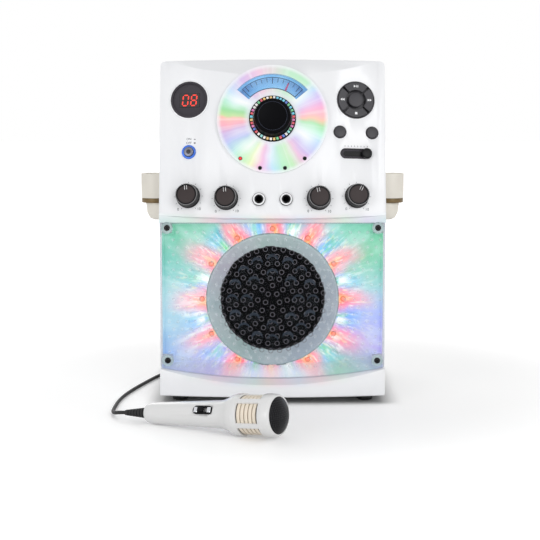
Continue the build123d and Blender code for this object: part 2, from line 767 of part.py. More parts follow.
with BuildPart() as meter_dial:
    add(sector_part(disc_site, 30.0, 52.0, 35.0, 145.0, -meter_well_depth, -meter_well_depth + 1.0))
finish(meter_dial.part, "meter_dial")

with BuildPart() as meter_lens:
    add(sector_part(disc_site, meter_inner_radius, meter_outer_radius, meter_start, meter_end,
                    face_low, face_high - 0.2))
finish(meter_lens.part, "meter_lens")

needle_site = turned(disc_site, -needle_angle)
with BuildPart() as meter_needle:
    add(ring_part(needle_site, volume_bush_radius + running_gap, 9.0, -2.8, -0.6))
    with BuildSketch(needle_site.offset(-2.2)):
        with BuildLine():
            Polyline((-1.2, 8.0), (1.2, 8.0), (0.5, 44.0), (-0.5, 44.0), close=True)
        make_face()
    extrude(amount=0.8)
finish(meter_needle.part, "meter_needle")

with BuildPart() as jewel_ring:
    add(lathe(disc_site, ((22.0, face_high), (25.9, face_high), (25.9, face_high + 1.6), (24.6, face_high + 2.4),
                          (22.0, face_high + 2.4))))
finish(jewel_ring.part, "jewel_ring")

master_low = boss_height + 2.0
with BuildPart() as master_volume_knob:
    top = master_low + master_knob_height
    add(lathe(disc_site, (
        (0, -13.5), (shaft_radius, -13.5), (shaft_radius, master_low), (master_knob_radius, master_low),
        (master_knob_radius, top - 4.0), (master_knob_radius - 3.6, top), (17.2, top), (16.4, top - 0.8), (0, top - 0.8),
    )))
finish(master_volume_knob.part, "master_volume_knob")

with BuildPart() as status_lights:
    for u, v in indicator_spots:
        site = Plane(origin=disc_site.from_local_coords((u, v, 0)), x_dir=across, z_dir=disc_site.z_dir)
        add(rod(site, indicator_radius, -board_depth, 2.8))
finish(status_lights.part, "status_lights")

# ------------------------------------------------------------------ display and power
with BuildPart() as display_bezel:
    add(ring_part(display_site, 18.8, display_radius, -7.0, 0.4))
    with BuildSketch(display_site.offset(-7.0)):
        Circle(19.5)
        Rectangle(display_window_width + 2.2, display_window_height + 2.2, mode=Mode.SUBTRACT)
    extrude(amount=3.2)
    with BuildSketch(display_site.offset(-3.8)):
        Circle(19.5)
        Rectangle(display_window_width, display_window_height, mode=Mode.SUBTRACT)
    extrude(amount=0.8)
finish(display_bezel.part, "display_bezel")

with BuildPart() as display_module:
    add(slab(display_site, display_window_width + 2.0, display_window_height + 2.0, -11.0, -3.8))
finish(display_module.part, "display_module")

with BuildPart() as power_ring:
    add(lathe(power_site, (
        (power_button_radius + button_gap, 0.3), (power_button_radius + button_gap, -5.0), (9.6, -5.0),
        (9.6, -3.4), (power_ring_radius, -3.4), (power_ring_radius, 0.3), (power_ring_radius - 0.6, 0.9),
        (power_button_radius + button_gap + 0.6, 0.9),
    )))
finish(power_ring.part, "power_ring")

with BuildPart() as power_button:
    add(lathe(power_site, (
        (0, -8.0), (power_button_radius, -8.0), (power_button_radius, 1.6), (power_button_radius - 0.8, 2.3),
        (0, 2.3),
    )))
finish(power_button.part, "power_button")

# ------------------------------------------------------------------ small knobs, jacks
for name, (site, turn) in knob_sites.items():
    marked = turned(site, turn)
    with BuildPart() as knob:
        add(lathe(marked, (
            (0, -11.0), (shaft_radius, -11.0), (shaft_radius, 1.2), (knob_radius, 1.2), (knob_radius, 3.0),
            (knob_radius - 0.7, knob_height - 1.2), (knob_radius - 1.6, knob_height), (0, knob_height),
        )))
        with BuildSketch(marked.offset(knob_height - 0.4)):
            with Locations((0, 7.0)):
                Rectangle(1.4, 11.0)
        extrude(amount=1.0, mode=Mode.SUBTRACT)
    finish(knob.part, name)

with BuildPart() as mic_jacks:
    for site in jack_sites:
        add(ring_part(site, jack_barrel_radius - 0.4, jack_nut_radius, 0.05, 2.2))
        with BuildSketch(site.offset(-29.6)):
            Rectangle(15.0, 15.0)
        extrude(amount=26.4)
        add(rod(site, jack_barrel_radius, -5.0, 2.8))
        add(rod(site, jack_bore_radius, 2.8 - jack_bore_length, 4.0), mode=Mode.SUBTRACT)
finish(mic_jacks.part, "mic_jacks")

# ------------------------------------------------------------------ control pad, small buttons, slider
stem_radius = 1.9
pad_stem_r = 15.5
pad_directions = {"forward_button": 0.0, "play_button": 90.0, "rewind_button": 180.0, "stop_button": 270.0}


def pad_stem_site(angle):
    """Plane over one pad button's stem."""
    spot = pad_site.from_local_coords((pad_stem_r * cos(radians(angle)), pad_stem_r * sin(radians(angle)), 0))
    return Plane(origin=spot, x_dir=pad_site.x_dir, z_dir=pad_site.z_dir)


with BuildPart() as pad_bezel:
    add(ring_part(pad_site, 20.3, pad_radius, -6.0, 0.6))
    add(ring_part(pad_site, stem_radius + running_gap, 20.8, -6.0, -4.0))
    for angle in pad_directions.values():
        add(rod(pad_stem_site(angle), stem_radius + running_gap, -7.0, -3.0), mode=Mode.SUBTRACT)
finish(pad_bezel.part, "pad_bezel")

for name, angle in pad_directions.items():
    with BuildPart() as button:
        add(sector_part(pad_site, 11.2, 19.9, angle - 41.0, angle + 41.0, -1.2, 1.6))
        add(rod(pad_stem_site(angle), stem_radius, -8.0, -1.0))
        add(rod(pad_stem_site(angle), 2.8, -8.0, -6.6))
    finish(button.part, name)

with BuildPart() as centre_button:
    add(lathe(pad_site, (
        (0, -8.0), (2.8, -8.0), (2.8, -6.6), (stem_radius, -6.6), (stem_radius, -1.2), (8.35, -1.2),
        (8.35, 1.3), (7.6, 1.9), (0, 1.9),
    )))
finish(centre_button.part, "centre_button")

for name, site in small_sites.items():
    with BuildPart() as button:
        add(lathe(site, (
            (0, -6.2), (8.2, -6.2), (8.2, -3.6), (small_button_radius, -3.6), (small_button_radius, 1.0),
            (small_button_radius - 0.9, 1.9), (0, 1.9),
        )))
    finish(button.part, name)

with BuildPart() as slider_bezel:
    with BuildSketch(slider_site.offset(-4.0)):
        SlotOverall(slider_length, slider_height)
        SlotOverall(28.2, 5.5, mode=Mode.SUBTRACT)
    extrude(amount=4.6)
    with BuildSketch(slider_site.offset(-1.4)):
        SlotOverall(slider_length - 2.4, slider_height - 2.4)
        SlotOverall(28.2, 5.5, mode=Mode.SUBTRACT)
    extrude(amount=3.0, mode=Mode.SUBTRACT)
finish(slider_bezel.part, "slider_bezel")

slide_site = Plane(origin=slider_site.from_local_coords((slider_travel / 2, 0, 0)), x_dir=slider_site.x_dir,
                   z_dir=slider_site.z_dir)
with BuildPart() as light_slider:
    add(lathe(slide_site, (
        (0, -7.5), (2.0, -7.5), (2.0, 1.0), (slider_knob_radius, 1.0), (slider_knob_radius, 4.6),
        (slider_knob_radius - 1.0, 5.6), (0, 5.6),
    )))
finish(light_slider.part, "light_slider")

# ------------------------------------------------------------------ control board with pots and switches
def panel_plane(u, v, n):
    """Plane parallel to the panel at u, v and height n over the crest."""
    return Plane(origin=panel_front.from_local_coords((u, v, n)), x_dir=across, z_dir=panel_out)


pot_body = 9.0
with BuildPart() as control_board:
    with BuildSketch(panel_plane(0, 0, -board_depth)):
        with Locations((0, 112.0)):
            Rectangle(230.0, 130.0)
        with Locations((0, disc_face_v)):
            Circle(16.0, mode=Mode.SUBTRACT)
    extrude(amount=-board_thickness)
    for site, turn in knob_sites.values():
        add(slab(site, 16.0, 16.0, -3.1 - pot_body, -3.1))
        add(ring_part(site, shaft_radius + running_gap, bush_radius, -3.2, 0.8))
        add(rod(site, shaft_radius + running_gap, -11.4, 1.0), mode=Mode.SUBTRACT)
    add(slab(disc_site, 20.0, 20.0, -16.6, -meter_floor - 0.1))
    add(ring_part(disc_site, shaft_radius + running_gap, volume_bush_radius, -meter_floor - 0.2, 0.6))
    add(rod(disc_site, shaft_radius + running_gap, -14.0, 1.0), mode=Mode.SUBTRACT)
    # slide pot behind the slider
    with BuildSketch(slider_site.offset(-9.5)):
        Rectangle(36.0, 10.0)
    extrude(amount=5.4)
    with BuildSketch(slider_site.offset(-8.0)):
        SlotOverall(28.6, 5.5)
    extrude(amount=6.0, mode=Mode.SUBTRACT)
    add(slab(slider_site, 6.0, 10.0, -14.0, -9.4))
    # push switches behind the buttons
    for angle in pad_directions.values():
        add(slab(pad_stem_site(angle), 6.0, 6.0, -15.0, -9.3))
    add(slab(pad_site, 6.0, 6.0, -15.0, -9.3))
    for site in small_sites.values():
        add(slab(site, 6.0, 6.0, -17.0, -7.5))
    add(slab(power_site, 12.0, 12.0, -15.0, -9.2))
    add(slab(display_site, 20.0, 12.0, -14.5, -11.0))
finish(control_board.part, "control_board")

# ------------------------------------------------------------------ microphone holders
for side, name in ((-1, "mic_holder_left"), (1, "mic_holder_right")):
    ring_site = Plane(origin=(side * (half_width + holder_radius), holder_y, 0))
    cup_site = Plane(origin=(side * (half_width + holder_cup_radius + 0.1), holder_y, 0))
    with BuildPart() as holder:
        add(ring_part(ring_site, holder_bore, holder_radius, holder_ring_z, holder_top_z))
        with Locations((side * (half_width + 1.0), holder_y, (holder_base_z + holder_top_z) / 2)):
            Box(2.0, 30.0, holder_top_z - holder_base_z)
        add(lathe(cup_site, (
            (0, holder_base_z), (4.0, holder_base_z), (9.0, holder_base_z + 2.5), (12.2, holder_base_z + 9.0),
            (holder_cup_radius, holder_cup_z), (holder_cup_radius - 1.6, holder_cup_z), (10.6, holder_base_z + 10.0),
            (8.0, holder_base_z + 4.6), (3.5, holder_base_z + 2.4), (0, holder_base_z + 2.4),
        )))
    finish(holder.part, name)

# ------------------------------------------------------------------ inside the cabinet
floor_z = foot_height + cabinet_wall
with BuildPart() as main_board:
    with BuildSketch(Plane(origin=(40.0, 50.0, floor_z + 8.0))):
        Rectangle(140.0, 96.0)
    extrude(amount=board_thickness)
    for x in (-25.0, 105.0):
        for y in (7.0, 93.0):
            with Locations((x, y, floor_z + 4.0)):
                Cylinder(3.0, 8.0)
    top = floor_z + 8.0 + board_thickness
    with Locations((20.0, 40.0, top + 12.5)):
        Box(46.0, 3.0, 25.0)
    for x, y, r, h in ((0.0, 75.0, 8.0, 24.0), (20.0, 75.0, 8.0, 24.0), (60.0, 20.0, 5.0, 14.0), (76.0, 24.0, 5.0, 14.0)):
        with Locations((x, y, top + h / 2)):
            Cylinder(r, h)
    for x, y, w, d, h in ((62.0, 62.0, 18.0, 18.0, 3.0), (90.0, 50.0, 10.0, 24.0, 3.0), (0.0, 20.0, 22.0, 12.0, 10.0)):
        with Locations((x, y, top + h / 2)):
            Box(w, d, h)
finish(main_board.part, "main_board")

with BuildPart() as transformer:
    with Locations((-80.0, 60.0, floor_z + 1.0)):
        Box(76.0, 50.0, 2.0)
    with Locations((-80.0, 60.0, floor_z + 24.5)):
        Box(55.0, 28.0, 45.0)
    with Locations((-80.0, 60.0, floor_z + 24.5)):
        Box(35.0, 48.0, 27.0)
finish(transformer.part, "transformer")

# ------------------------------------------------------------------ disc drive under the well
chassis_z = deck_z - well_depth - 2.0 - 4.0
rail_z = chassis_z - 8.5
rail_front = well_y - 72.0
rail_rear = well_y - 13.5
with BuildPart() as disc_chassis:
    with BuildSketch(Plane(origin=(0, 0, chassis_z))):
        with Locations((0, well_y - 19.0)):
            Rectangle(100.0, 112.0)
        with Locations((0, well_y)):
            Circle(5.0, mode=Mode.SUBTRACT)
        with Locations((0, well_y - 41.0)):
            Rectangle(18.0, 48.0, mode=Mode.SUBTRACT)
    extrude(amount=-2.0)
    for x in (-40.0, 40.0):
        for y in (well_y - 46.0, well_y + 30.0):
            with Locations((x, y, chassis_z + 2.0)):
                Cylinder(3.0, 4.0)
    for y in (rail_front + 1.5, rail_rear + 1.5):
        for x in (-rail_spread, rail_spread):
            with Locations((x, y, chassis_z - 7.0)):
                Box(7.0, 3.0, 10.2)
    for x in (-rail_spread, rail_spread):
        with Locations((x, (rail_front + rail_rear + 3.0) / 2, rail_z)):
            Cylinder(rail_radius, rail_rear - rail_front + 3.0, rotation=(90, 0, 0))
finish(disc_chassis.part, "disc_chassis")

with BuildPart() as laser_sled:
    sled_y = well_y - sled_start
    with Locations((0, sled_y, rail_z)):
        Box(40.0, 13.0, 6.4)
    with Locations((0, sled_y, rail_z + 5.0)):
        Box(15.0, 11.0, 4.0)
    with Locations((0, sled_y, rail_z + 9.0)):
        Cylinder(4.0, 6.0)
    for x in (-rail_spread, rail_spread):
        with Locations((x, sled_y, rail_z)):
            Cylinder(rail_radius + running_gap, 20.0, rotation=(90, 0, 0), mode=Mode.SUBTRACT)
finish(laser_sled.part, "laser_sled")

spindle_shaft_radius = 1.0
platter_z = deck_z - 13.5
with BuildPart() as turntable:
    add(lathe(Plane(origin=(0, well_y, 0)), (
        (0, chassis_z - 9.0), (spindle_shaft_radius, chassis_z - 9.0), (spindle_shaft_radius, platter_z),
        (turntable_radius, platter_z), (turntable_radius, platter_z + 2.5), (spindle_nose_radius, platter_z + 2.5),
        (spindle_nose_radius, platter_z + 5.5), (spindle_nose_radius - 2.4, platter_z + 7.5), (0, platter_z + 7.5),
    )))
finish(turntable.part, "turntable")

with BuildPart() as disc_motors:
    add(lathe(Plane(origin=(0, well_y, 0)), (
        (spindle_shaft_radius + running_gap, chassis_z - 2.0), (12.0, chassis_z - 2.0),
        (12.0, chassis_z - 13.0), (0, chassis_z - 13.0), (0, chassis_z - 9.5),
        (spindle_shaft_radius + running_gap, chassis_z - 9.5),
    )))
    # sled motor with its feed screw
    with Locations((33.0, well_y - 6.0, chassis_z - 8.0)):
        Cylinder(6.0, 22.0, rotation=(90, 0, 0))
    with Locations((33.0, well_y - 41.0, chassis_z - 8.0)):
        Cylinder(1.4, 52.0, rotation=(90, 0, 0))
finish(disc_motors.part, "disc_motors")

# ------------------------------------------------------------------ microphone
mic_tilt = atan2(mic_head_radius - 0.2 - mic_tail_radius, mic_head_s)
mic_dir = Vector(cos(radians(mic_yaw)) * cos(mic_tilt), sin(radians(mic_yaw)) * cos(mic_tilt), sin(mic_tilt))
mic_base = Vector(mic_tail[0], mic_tail[1], mic_tail_radius * cos(mic_tilt) - 8.0 * sin(mic_tilt) + 0.1)
mic_side = Vector(sin(radians(mic_yaw)), -cos(radians(mic_yaw)), 0)
mic_site = Plane(origin=mic_base, x_dir=mic_side, z_dir=mic_dir)
switch_slope = (mic_neck_radius - mic_tail_radius) / (mic_neck_s - 8.0)
switch_r = mic_tail_radius + (mic_switch_s - 8.0) * switch_slope
switch_lift = radians(mic_switch_lift)
# the plate looks out of the handle towards the front and up, along the handle
mic_top = mic_site.y_dir if mic_site.y_dir.Z > 0 else -mic_site.y_dir
plate_out = mic_side * cos(switch_lift) + mic_top * sin(switch_lift)
plate_site = Plane(origin=mic_base + mic_dir * mic_switch_s + plate_out * (switch_r + 0.3), x_dir=mic_dir,
                   z_dir=plate_out)

with BuildPart() as mic_body:
    add(lathe(mic_site, (
        (4.2, 0.0), (8.6, 0.0), (10.4, 2.6), (mic_tail_radius, 8.0), (mic_neck_radius, mic_neck_s),
        (17.4, mic_neck_s + 8.0), (20.4, mic_neck_s + 14.0), (21.4, mic_head_s), (21.4 - mic_wall, mic_head_s),
        (16.0, mic_neck_s + 8.0), (mic_neck_radius - mic_wall, mic_neck_s), (mic_tail_radius - mic_wall, 8.0),
        (8.0, 3.0), (4.2, 3.0),
    )))
    add(slab(plate_site, 24.1, 9.6, -6.0, 3.0), mode=Mode.SUBTRACT)
    add(hollowed(slab(plate_site, 27.0, 12.0, -5.2, -1.4), slab(plate_site, 16.0, 5.4, -3.6, -1.0)))
finish(mic_body.part, "mic_body")

with BuildPart() as mic_switch_plate:
    with BuildSketch(plate_site.offset(-1.4)):
        SlotOverall(23.5, 9.0)
        SlotOverall(11.4, 4.2, mode=Mode.SUBTRACT)
    extrude(amount=1.8)
finish(mic_switch_plate.part, "mic_switch_plate")

switch_site = Plane(origin=plate_site.from_local_coords((-mic_switch_travel / 2, 0, 0)), x_dir=mic_dir, z_dir=plate_out)
with BuildPart() as mic_switch:
    add(slab(switch_site, 4.0, 3.6, -3.2, 0.8))
    add(slab(switch_site, 6.6, 5.0, 0.8, 2.4))
finish(mic_switch.part, "mic_switch")

window_low = mic_head_s + 8.0
window_high = mic_head_s + 34.0
with BuildPart() as mic_head:
    add(lathe(mic_site, (
        (mic_head_radius - mic_wall, mic_head_s), (21.5, mic_head_s), (mic_head_radius, mic_head_s + 8.0),
        (mic_head_radius, mic_rim_s - 8.0), (21.4, mic_rim_s - 2.0), (20.4, mic_rim_s),
        (mesh_radius + 0.1, mic_rim_s), (mic_head_radius - mic_wall, mic_rim_s - 4.0),
    )))
    for turn in range(5):
        angle = 72.0 * turn + mic_window_turn
        add(sector_part(mic_site, mic_head_radius - 4.0, mic_head_radius + 4.0, angle - 29.0, angle + 29.0,
                        window_low, window_high), mode=Mode.SUBTRACT)
finish(mic_head.part, "mic_head")

rib_radius = mic_head_radius - mic_wall
with BuildPart() as mic_ribs:
    for rib in range(5):
        s = window_low + 0.8 + rib * 4.7
        add(ring_part(mic_site, rib_radius - 2.2, rib_radius, s, s + 3.5))
    for turn in range(5):
        angle = 72.0 * turn + mic_window_turn + 36.0
        add(sector_part(mic_site, rib_radius - 1.9, rib_radius - 0.4, angle - 5.0, angle + 5.0,
                        window_low - 1.0, window_low + 25.0))
finish(mic_ribs.part, "mic_ribs")

with BuildPart() as mic_mesh:
    dome = (mesh_radius**2 + mesh_rise**2) / (2 * mesh_rise)
    with BuildSketch(Plane(origin=mic_site.origin, x_dir=mic_site.x_dir, z_dir=-mic_site.y_dir)):
        low = mic_rim_s - 3.0
        inner = mesh_radius - 1.2
        with BuildLine():
            Line((mesh_radius - 2.4, window_low - 4.0), (mesh_radius - 2.4, low))
            Line((mesh_radius - 2.4, low), (mesh_radius, low))
            Line((mesh_radius, low), (mesh_radius, mic_rim_s))
            ThreePointArc((mesh_radius, mic_rim_s), (mesh_radius * 0.5, mic_rim_s + mesh_rise - dome
                          + sqrt(dome**2 - (mesh_radius * 0.5) ** 2)), (0, mic_rim_s + mesh_rise))
            Line((0, mic_rim_s + mesh_rise), (0, mic_rim_s + mesh_rise - 1.0))
            Line((0, mic_rim_s + mesh_rise - 1.0), (mesh_radius - 3.4, mic_rim_s))
            Line((mesh_radius - 3.4, mic_rim_s), (mesh_radius - 3.4, window_low - 4.0))
            Line((mesh_radius - 3.4, window_low - 4.0), (mesh_radius - 2.4, window_low - 4.0))
        make_face()
    revolve(axis=Axis(mic_site.origin, mic_site.z_dir))
finish(mic_mesh.part, "mic_mesh")

with BuildPart() as mic_strain_relief:
    profile = [(0.0, 2.8), (4.1, 2.8), (4.1, 0.0), (6.2, 0.0), (6.2, -3.0)]
    for step in range(6):
        s = -3.0 - step * 4.0
        r = 5.4 - step * 0.42
        profile += [(r - 0.8, s), (r - 0.8, s - 1.6), (r, s - 1.6), (r - 0.1, s - 4.0)]
    profile += [(2.9, -27.0), (2.9, -relief_length), (0.0, -relief_length)]
    add(lathe(mic_site, profile))
finish(mic_strain_relief.part, "mic_strain_relief")

# ------------------------------------------------------------------ cable, coil and plug
cable_radius = cable_diameter / 2
cable_z = cable_radius + 0.05
relief_tip = mic_base - mic_dir * relief_length
cable_step = relief_tip - mic_dir * 8.0
coil_turns_out = coil_inner_radius + coil_half_turns * coil_pitch / 2
coil_start = Vector(coil_centre[0] - coil_turns_out, coil_centre[1], cable_z)
cable_points = [
    (relief_tip.X, relief_tip.Y, relief_tip.Z),
    (cable_step.X, cable_step.Y, cable_step.Z),
    (-169.1, -189.3, cable_z + 3.0),
    (-173.0, -173.8, cable_z + 0.9),
    (-173.8, -145.0, cable_z),
    (-173.0, -108.0, cable_z),
    (-168.0, -67.0, cable_z),
    (-157.0, -18.0, cable_z),
    (-143.5, 34.0, cable_z),
    (-131.0, 72.0, cable_z),
    (-119.0, 104.0, cable_z),
    (coil_start.X, 130.0, cable_z),
    (coil_start.X, 146.0, cable_z),
]


def bend_radii(points):
    """One radius per inner point, from the shorter run beside it."""
    radii = []
    for before, here, after in zip(points, points[1:], points[2:]):
        first = Vector(*here) - Vector(*before)
        second = Vector(*after) - Vector(*here)
        half = acos(max(-1.0, min(1.0, first.normalized().dot(second.normalized())))) / 2
        radii.append(0.45 * min(first.length, second.length) / tan(half))
    return radii


cable_radii = bend_radii(cable_points)
with BuildPart() as mic_cable:
    with BuildLine() as cable_line:
        FilletPolyline(*cable_points, radius=cable_radii)
    with BuildSketch(Plane(origin=cable_points[0], z_dir=Vector(*cable_points[1]) - Vector(*cable_points[0]))):
        Circle(cable_radius)
    sweep()
cable_length = sum(edge.length for edge in cable_line.edges())
cable_expected = pi * cable_radius**2 * cable_length
print("cable bend radii", [round(r, 1) for r in cable_radii])
print("cable length", round(cable_length, 1), "volume over section x length",
      round(mic_cable.part.volume / cable_expected, 4))
finish(mic_cable.part, "mic_cable")


def turn_between(start, start_dir, end, end_dir):
    """Two tangent arcs from one point and heading to another; returns the joint point and its heading."""
    v = end - start
    t = start_dir + end_dir
    k = 2 * (1 - start_dir.dot(end_dir))
    d = (-v.dot(t) + sqrt(v.dot(t) ** 2 + k * v.dot(v))) / k
    joint = (start + start_dir * d + end - end_dir * d) / 2
    heading = (end - end_dir * d - start - start_dir * d).normalized()
    return joint, heading


# half turns: inwards on the floor, climb, outwards, climb, and so on; clockwise seen from above
coil_nodes = []
reach = coil_turns_out
level = 0
direction = -1
coil_nodes.append((reach, level))
for layer in range(coil_layers):
    for half in range(coil_half_turns):
        reach += direction * coil_pitch / 2
        coil_nodes.append((reach, level))
    if layer < coil_layers - 1:
        level += 1
        direction = -direction
        coil_nodes.append((reach, level))
coil_knots = []
for index, (reach, level) in enumerate(coil_nodes):
    side = -1 if index % 2 == 0 else 1
    spot = Vector(coil_centre[0] + side * reach, coil_centre[1], cable_z + level * coil_rise)
    coil_knots.append((spot, Vector(0, -side, 0)))
# the last half turn stops at its quarter, on the far side, and runs on to the plug
last_spot, last_dir = coil_knots[-2]
coil_knots = coil_knots[:-1]
far_reach = coil_nodes[-2][0] + coil_pitch / 4
tail_start = Vector(last_spot.X + far_reach, coil_centre[1] + far_reach, last_spot.Z)
plug_axis_z = plug_barrel_radius + 0.05
plug_start = Vector(coil_centre[0] + coil_turns_out + 46.0, tail_start.Y, plug_axis_z)
tail_spots = [tail_start, tail_start + Vector(10, 0, 0), tail_start + Vector(30, 0, -4.0),
              plug_start - Vector(24.0, 0, -2.6), plug_start - Vector(9.0, 0, 0), plug_start]
coil_points = []
with BuildPart() as cable_coil:
    with BuildLine() as coil_line:
        Line((coil_start.X, 146.0, cable_z), coil_start)
        for (a, a_dir), (b, b_dir) in zip(coil_knots, coil_knots[1:] + [(tail_start, across)]):
            joint, heading = turn_between(a, a_dir, b, b_dir)
            TangentArc(a, joint, tangent=a_dir)
            TangentArc(joint, b, tangent=heading)
        tail_tuples = [(p.X, p.Y, p.Z) for p in tail_spots]
        FilletPolyline(*tail_tuples, radius=bend_radii(tail_tuples))
    with BuildSketch(Plane(origin=(coil_start.X, 146.0, cable_z), z_dir=(0, 1, 0))):
        Circle(cable_radius)
    sweep()
coil_length = sum(edge.length for edge in coil_line.edges())
print("coil tail radii", [round(r, 1) for r in bend_radii(tail_tuples)])
print("coil length", round(coil_length, 1), "volume over section x length",
      round(cable_coil.part.volume / (pi * cable_radius**2 * coil_length), 4))
samples = []
for edge in coil_line.edges():
    pieces = ceil(edge.length)
    samples += [edge @ (i / pieces) for i in range(pieces)]
least = coil_length
apart = int(3.0 * pi * cable_diameter)
for i, a in enumerate(samples):
    for b in samples[i + apart:]:
        least = min(least, hypot(a.X - b.X, a.Y - b.Y, a.Z - b.Z))
print("coil least gap to itself", round(least - cable_diameter, 2))
finish(cable_coil.part, "cable_coil")

with BuildPart() as mic_plug:
    plug_site = Plane(origin=plug_start, x_dir=(0, 1, 0), z_dir=across)
    add(lathe(plug_site, (
        (0, 0), (2.9, 0), (3.4, 10.0), (4.6, 10.0), (plug_barrel_radius, 13.0), (plug_barrel_radius, 40.0),
        (5.0, 41.0), (plug_shaft_radius, 41.0), (plug_shaft_radius, 66.0), (2.5, 67.0), (2.9, 69.0), (1.6, 71.5),
        (0, 72.0),
    )))
finish(mic_plug.part, "mic_plug")
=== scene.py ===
import math

import bmesh
import bpy
from mathutils import Matrix, Vector


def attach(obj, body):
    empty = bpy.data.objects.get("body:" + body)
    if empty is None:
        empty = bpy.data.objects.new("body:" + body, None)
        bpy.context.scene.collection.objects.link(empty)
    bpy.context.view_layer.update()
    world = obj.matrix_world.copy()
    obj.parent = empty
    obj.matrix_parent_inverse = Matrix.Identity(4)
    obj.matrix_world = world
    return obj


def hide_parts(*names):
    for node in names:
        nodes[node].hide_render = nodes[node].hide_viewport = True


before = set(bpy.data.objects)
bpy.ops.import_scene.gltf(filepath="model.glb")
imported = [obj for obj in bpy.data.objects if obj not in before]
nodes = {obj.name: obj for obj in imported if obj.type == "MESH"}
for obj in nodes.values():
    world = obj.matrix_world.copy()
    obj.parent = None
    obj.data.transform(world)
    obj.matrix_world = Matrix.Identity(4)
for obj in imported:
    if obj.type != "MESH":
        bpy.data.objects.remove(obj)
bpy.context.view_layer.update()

mm = 0.001
scene = bpy.context.scene
print("frame loaded")

# camera, at the photograph's viewing angle
cameraFacts = {"place": (0, -1.7625, 0.335), "pitchDown": 6.382, "lens": 99.53, "shift": -0.00463}
cameraData = bpy.data.cameras.new("camera")
camera = bpy.data.objects.new("camera", cameraData)
scene.collection.objects.link(camera)
camera.location = cameraFacts["place"]
camera.rotation_euler = (math.radians(90 - cameraFacts["pitchDown"]), 0, 0)
cameraData.lens = cameraFacts["lens"]
cameraData.sensor_width = 36
cameraData.shift_x = cameraFacts["shift"]
cameraData.clip_start = 0.05
scene.camera = camera

# the panel's places: u across, v up, h out of the bowed skin, all in mm
bow = {"halfWidth": 126.0, "depth": 12.0, "lean": 14.0, "foot": Vector((0, -124.5, 205.0))}
bowRadius = (bow["halfWidth"] ** 2 + bow["depth"] ** 2) / (2 * bow["depth"])
panelUp = Vector((0, math.sin(math.radians(bow["lean"])), math.cos(math.radians(bow["lean"]))))
panelOut = Vector((0, -panelUp.z, panelUp.y))
acrossX = Vector((1, 0, 0))
panelPlaces = {"disc": (0, 115.4), "display": (-93, 139.2), "power": (-93, 79.8), "pad": (93, 139.0),
               "slider": (93, 78),
               "smallButtons": ((75, 102.1), (111, 102.1)), "jacks": ((-15, 25.2), (15, 25.2))}

# the lower front: clear cover, sound holes, screws and the reflector behind, in mm
coverFacts = {"face": -110.5, "middle": 116.5, "holePitch": 8.2, "counts": (5, 8, 15, 20, 24, 30, 36),
              "starts": (-90, -90, 96, 90, 97.5, 96, 88), "screwX": 117.3, "screwHeights": (48.1, 197.2),
              "reflectorFace": -101.0, "lampRing": 79, "lamps": 12}
coverCorners = [(x, z) for x in (-coverFacts["screwX"],
                                 coverFacts["screwX"]) for z in coverFacts["screwHeights"]]
soundMiddle = (0, 0, coverFacts["middle"] * mm)


def panelSite(u, v, turn=0.0):
    # matrix of a place on the skin: x along the skin, y up it, z out of it
    lean = math.asin(u / bowRadius)
    drop = bowRadius - math.sqrt(bowRadius**2 - u**2)
    normal = acrossX * math.sin(lean) + panelOut * math.cos(lean)
    side = acrossX * math.cos(lean) - panelOut * math.sin(lean)
    spot = (bow["foot"] + acrossX * u + panelUp * v - panelOut * drop) * mm
    frameMatrix = Matrix((side, normal.cross(side), normal)).transposed().to_4x4()
    return Matrix.Translation(spot) @ frameMatrix @ Matrix.Rotation(math.radians(turn), 4, "Z")


def axisSite(spot, out, side):
    out = Vector(out).normalized()
    side = (Vector(side) - out * Vector(side).dot(out)).normalized()
    turn = Matrix((side, out.cross(side), out)).transposed().to_4x4()
    return Matrix.Translation(Vector(spot) * mm) @ turn


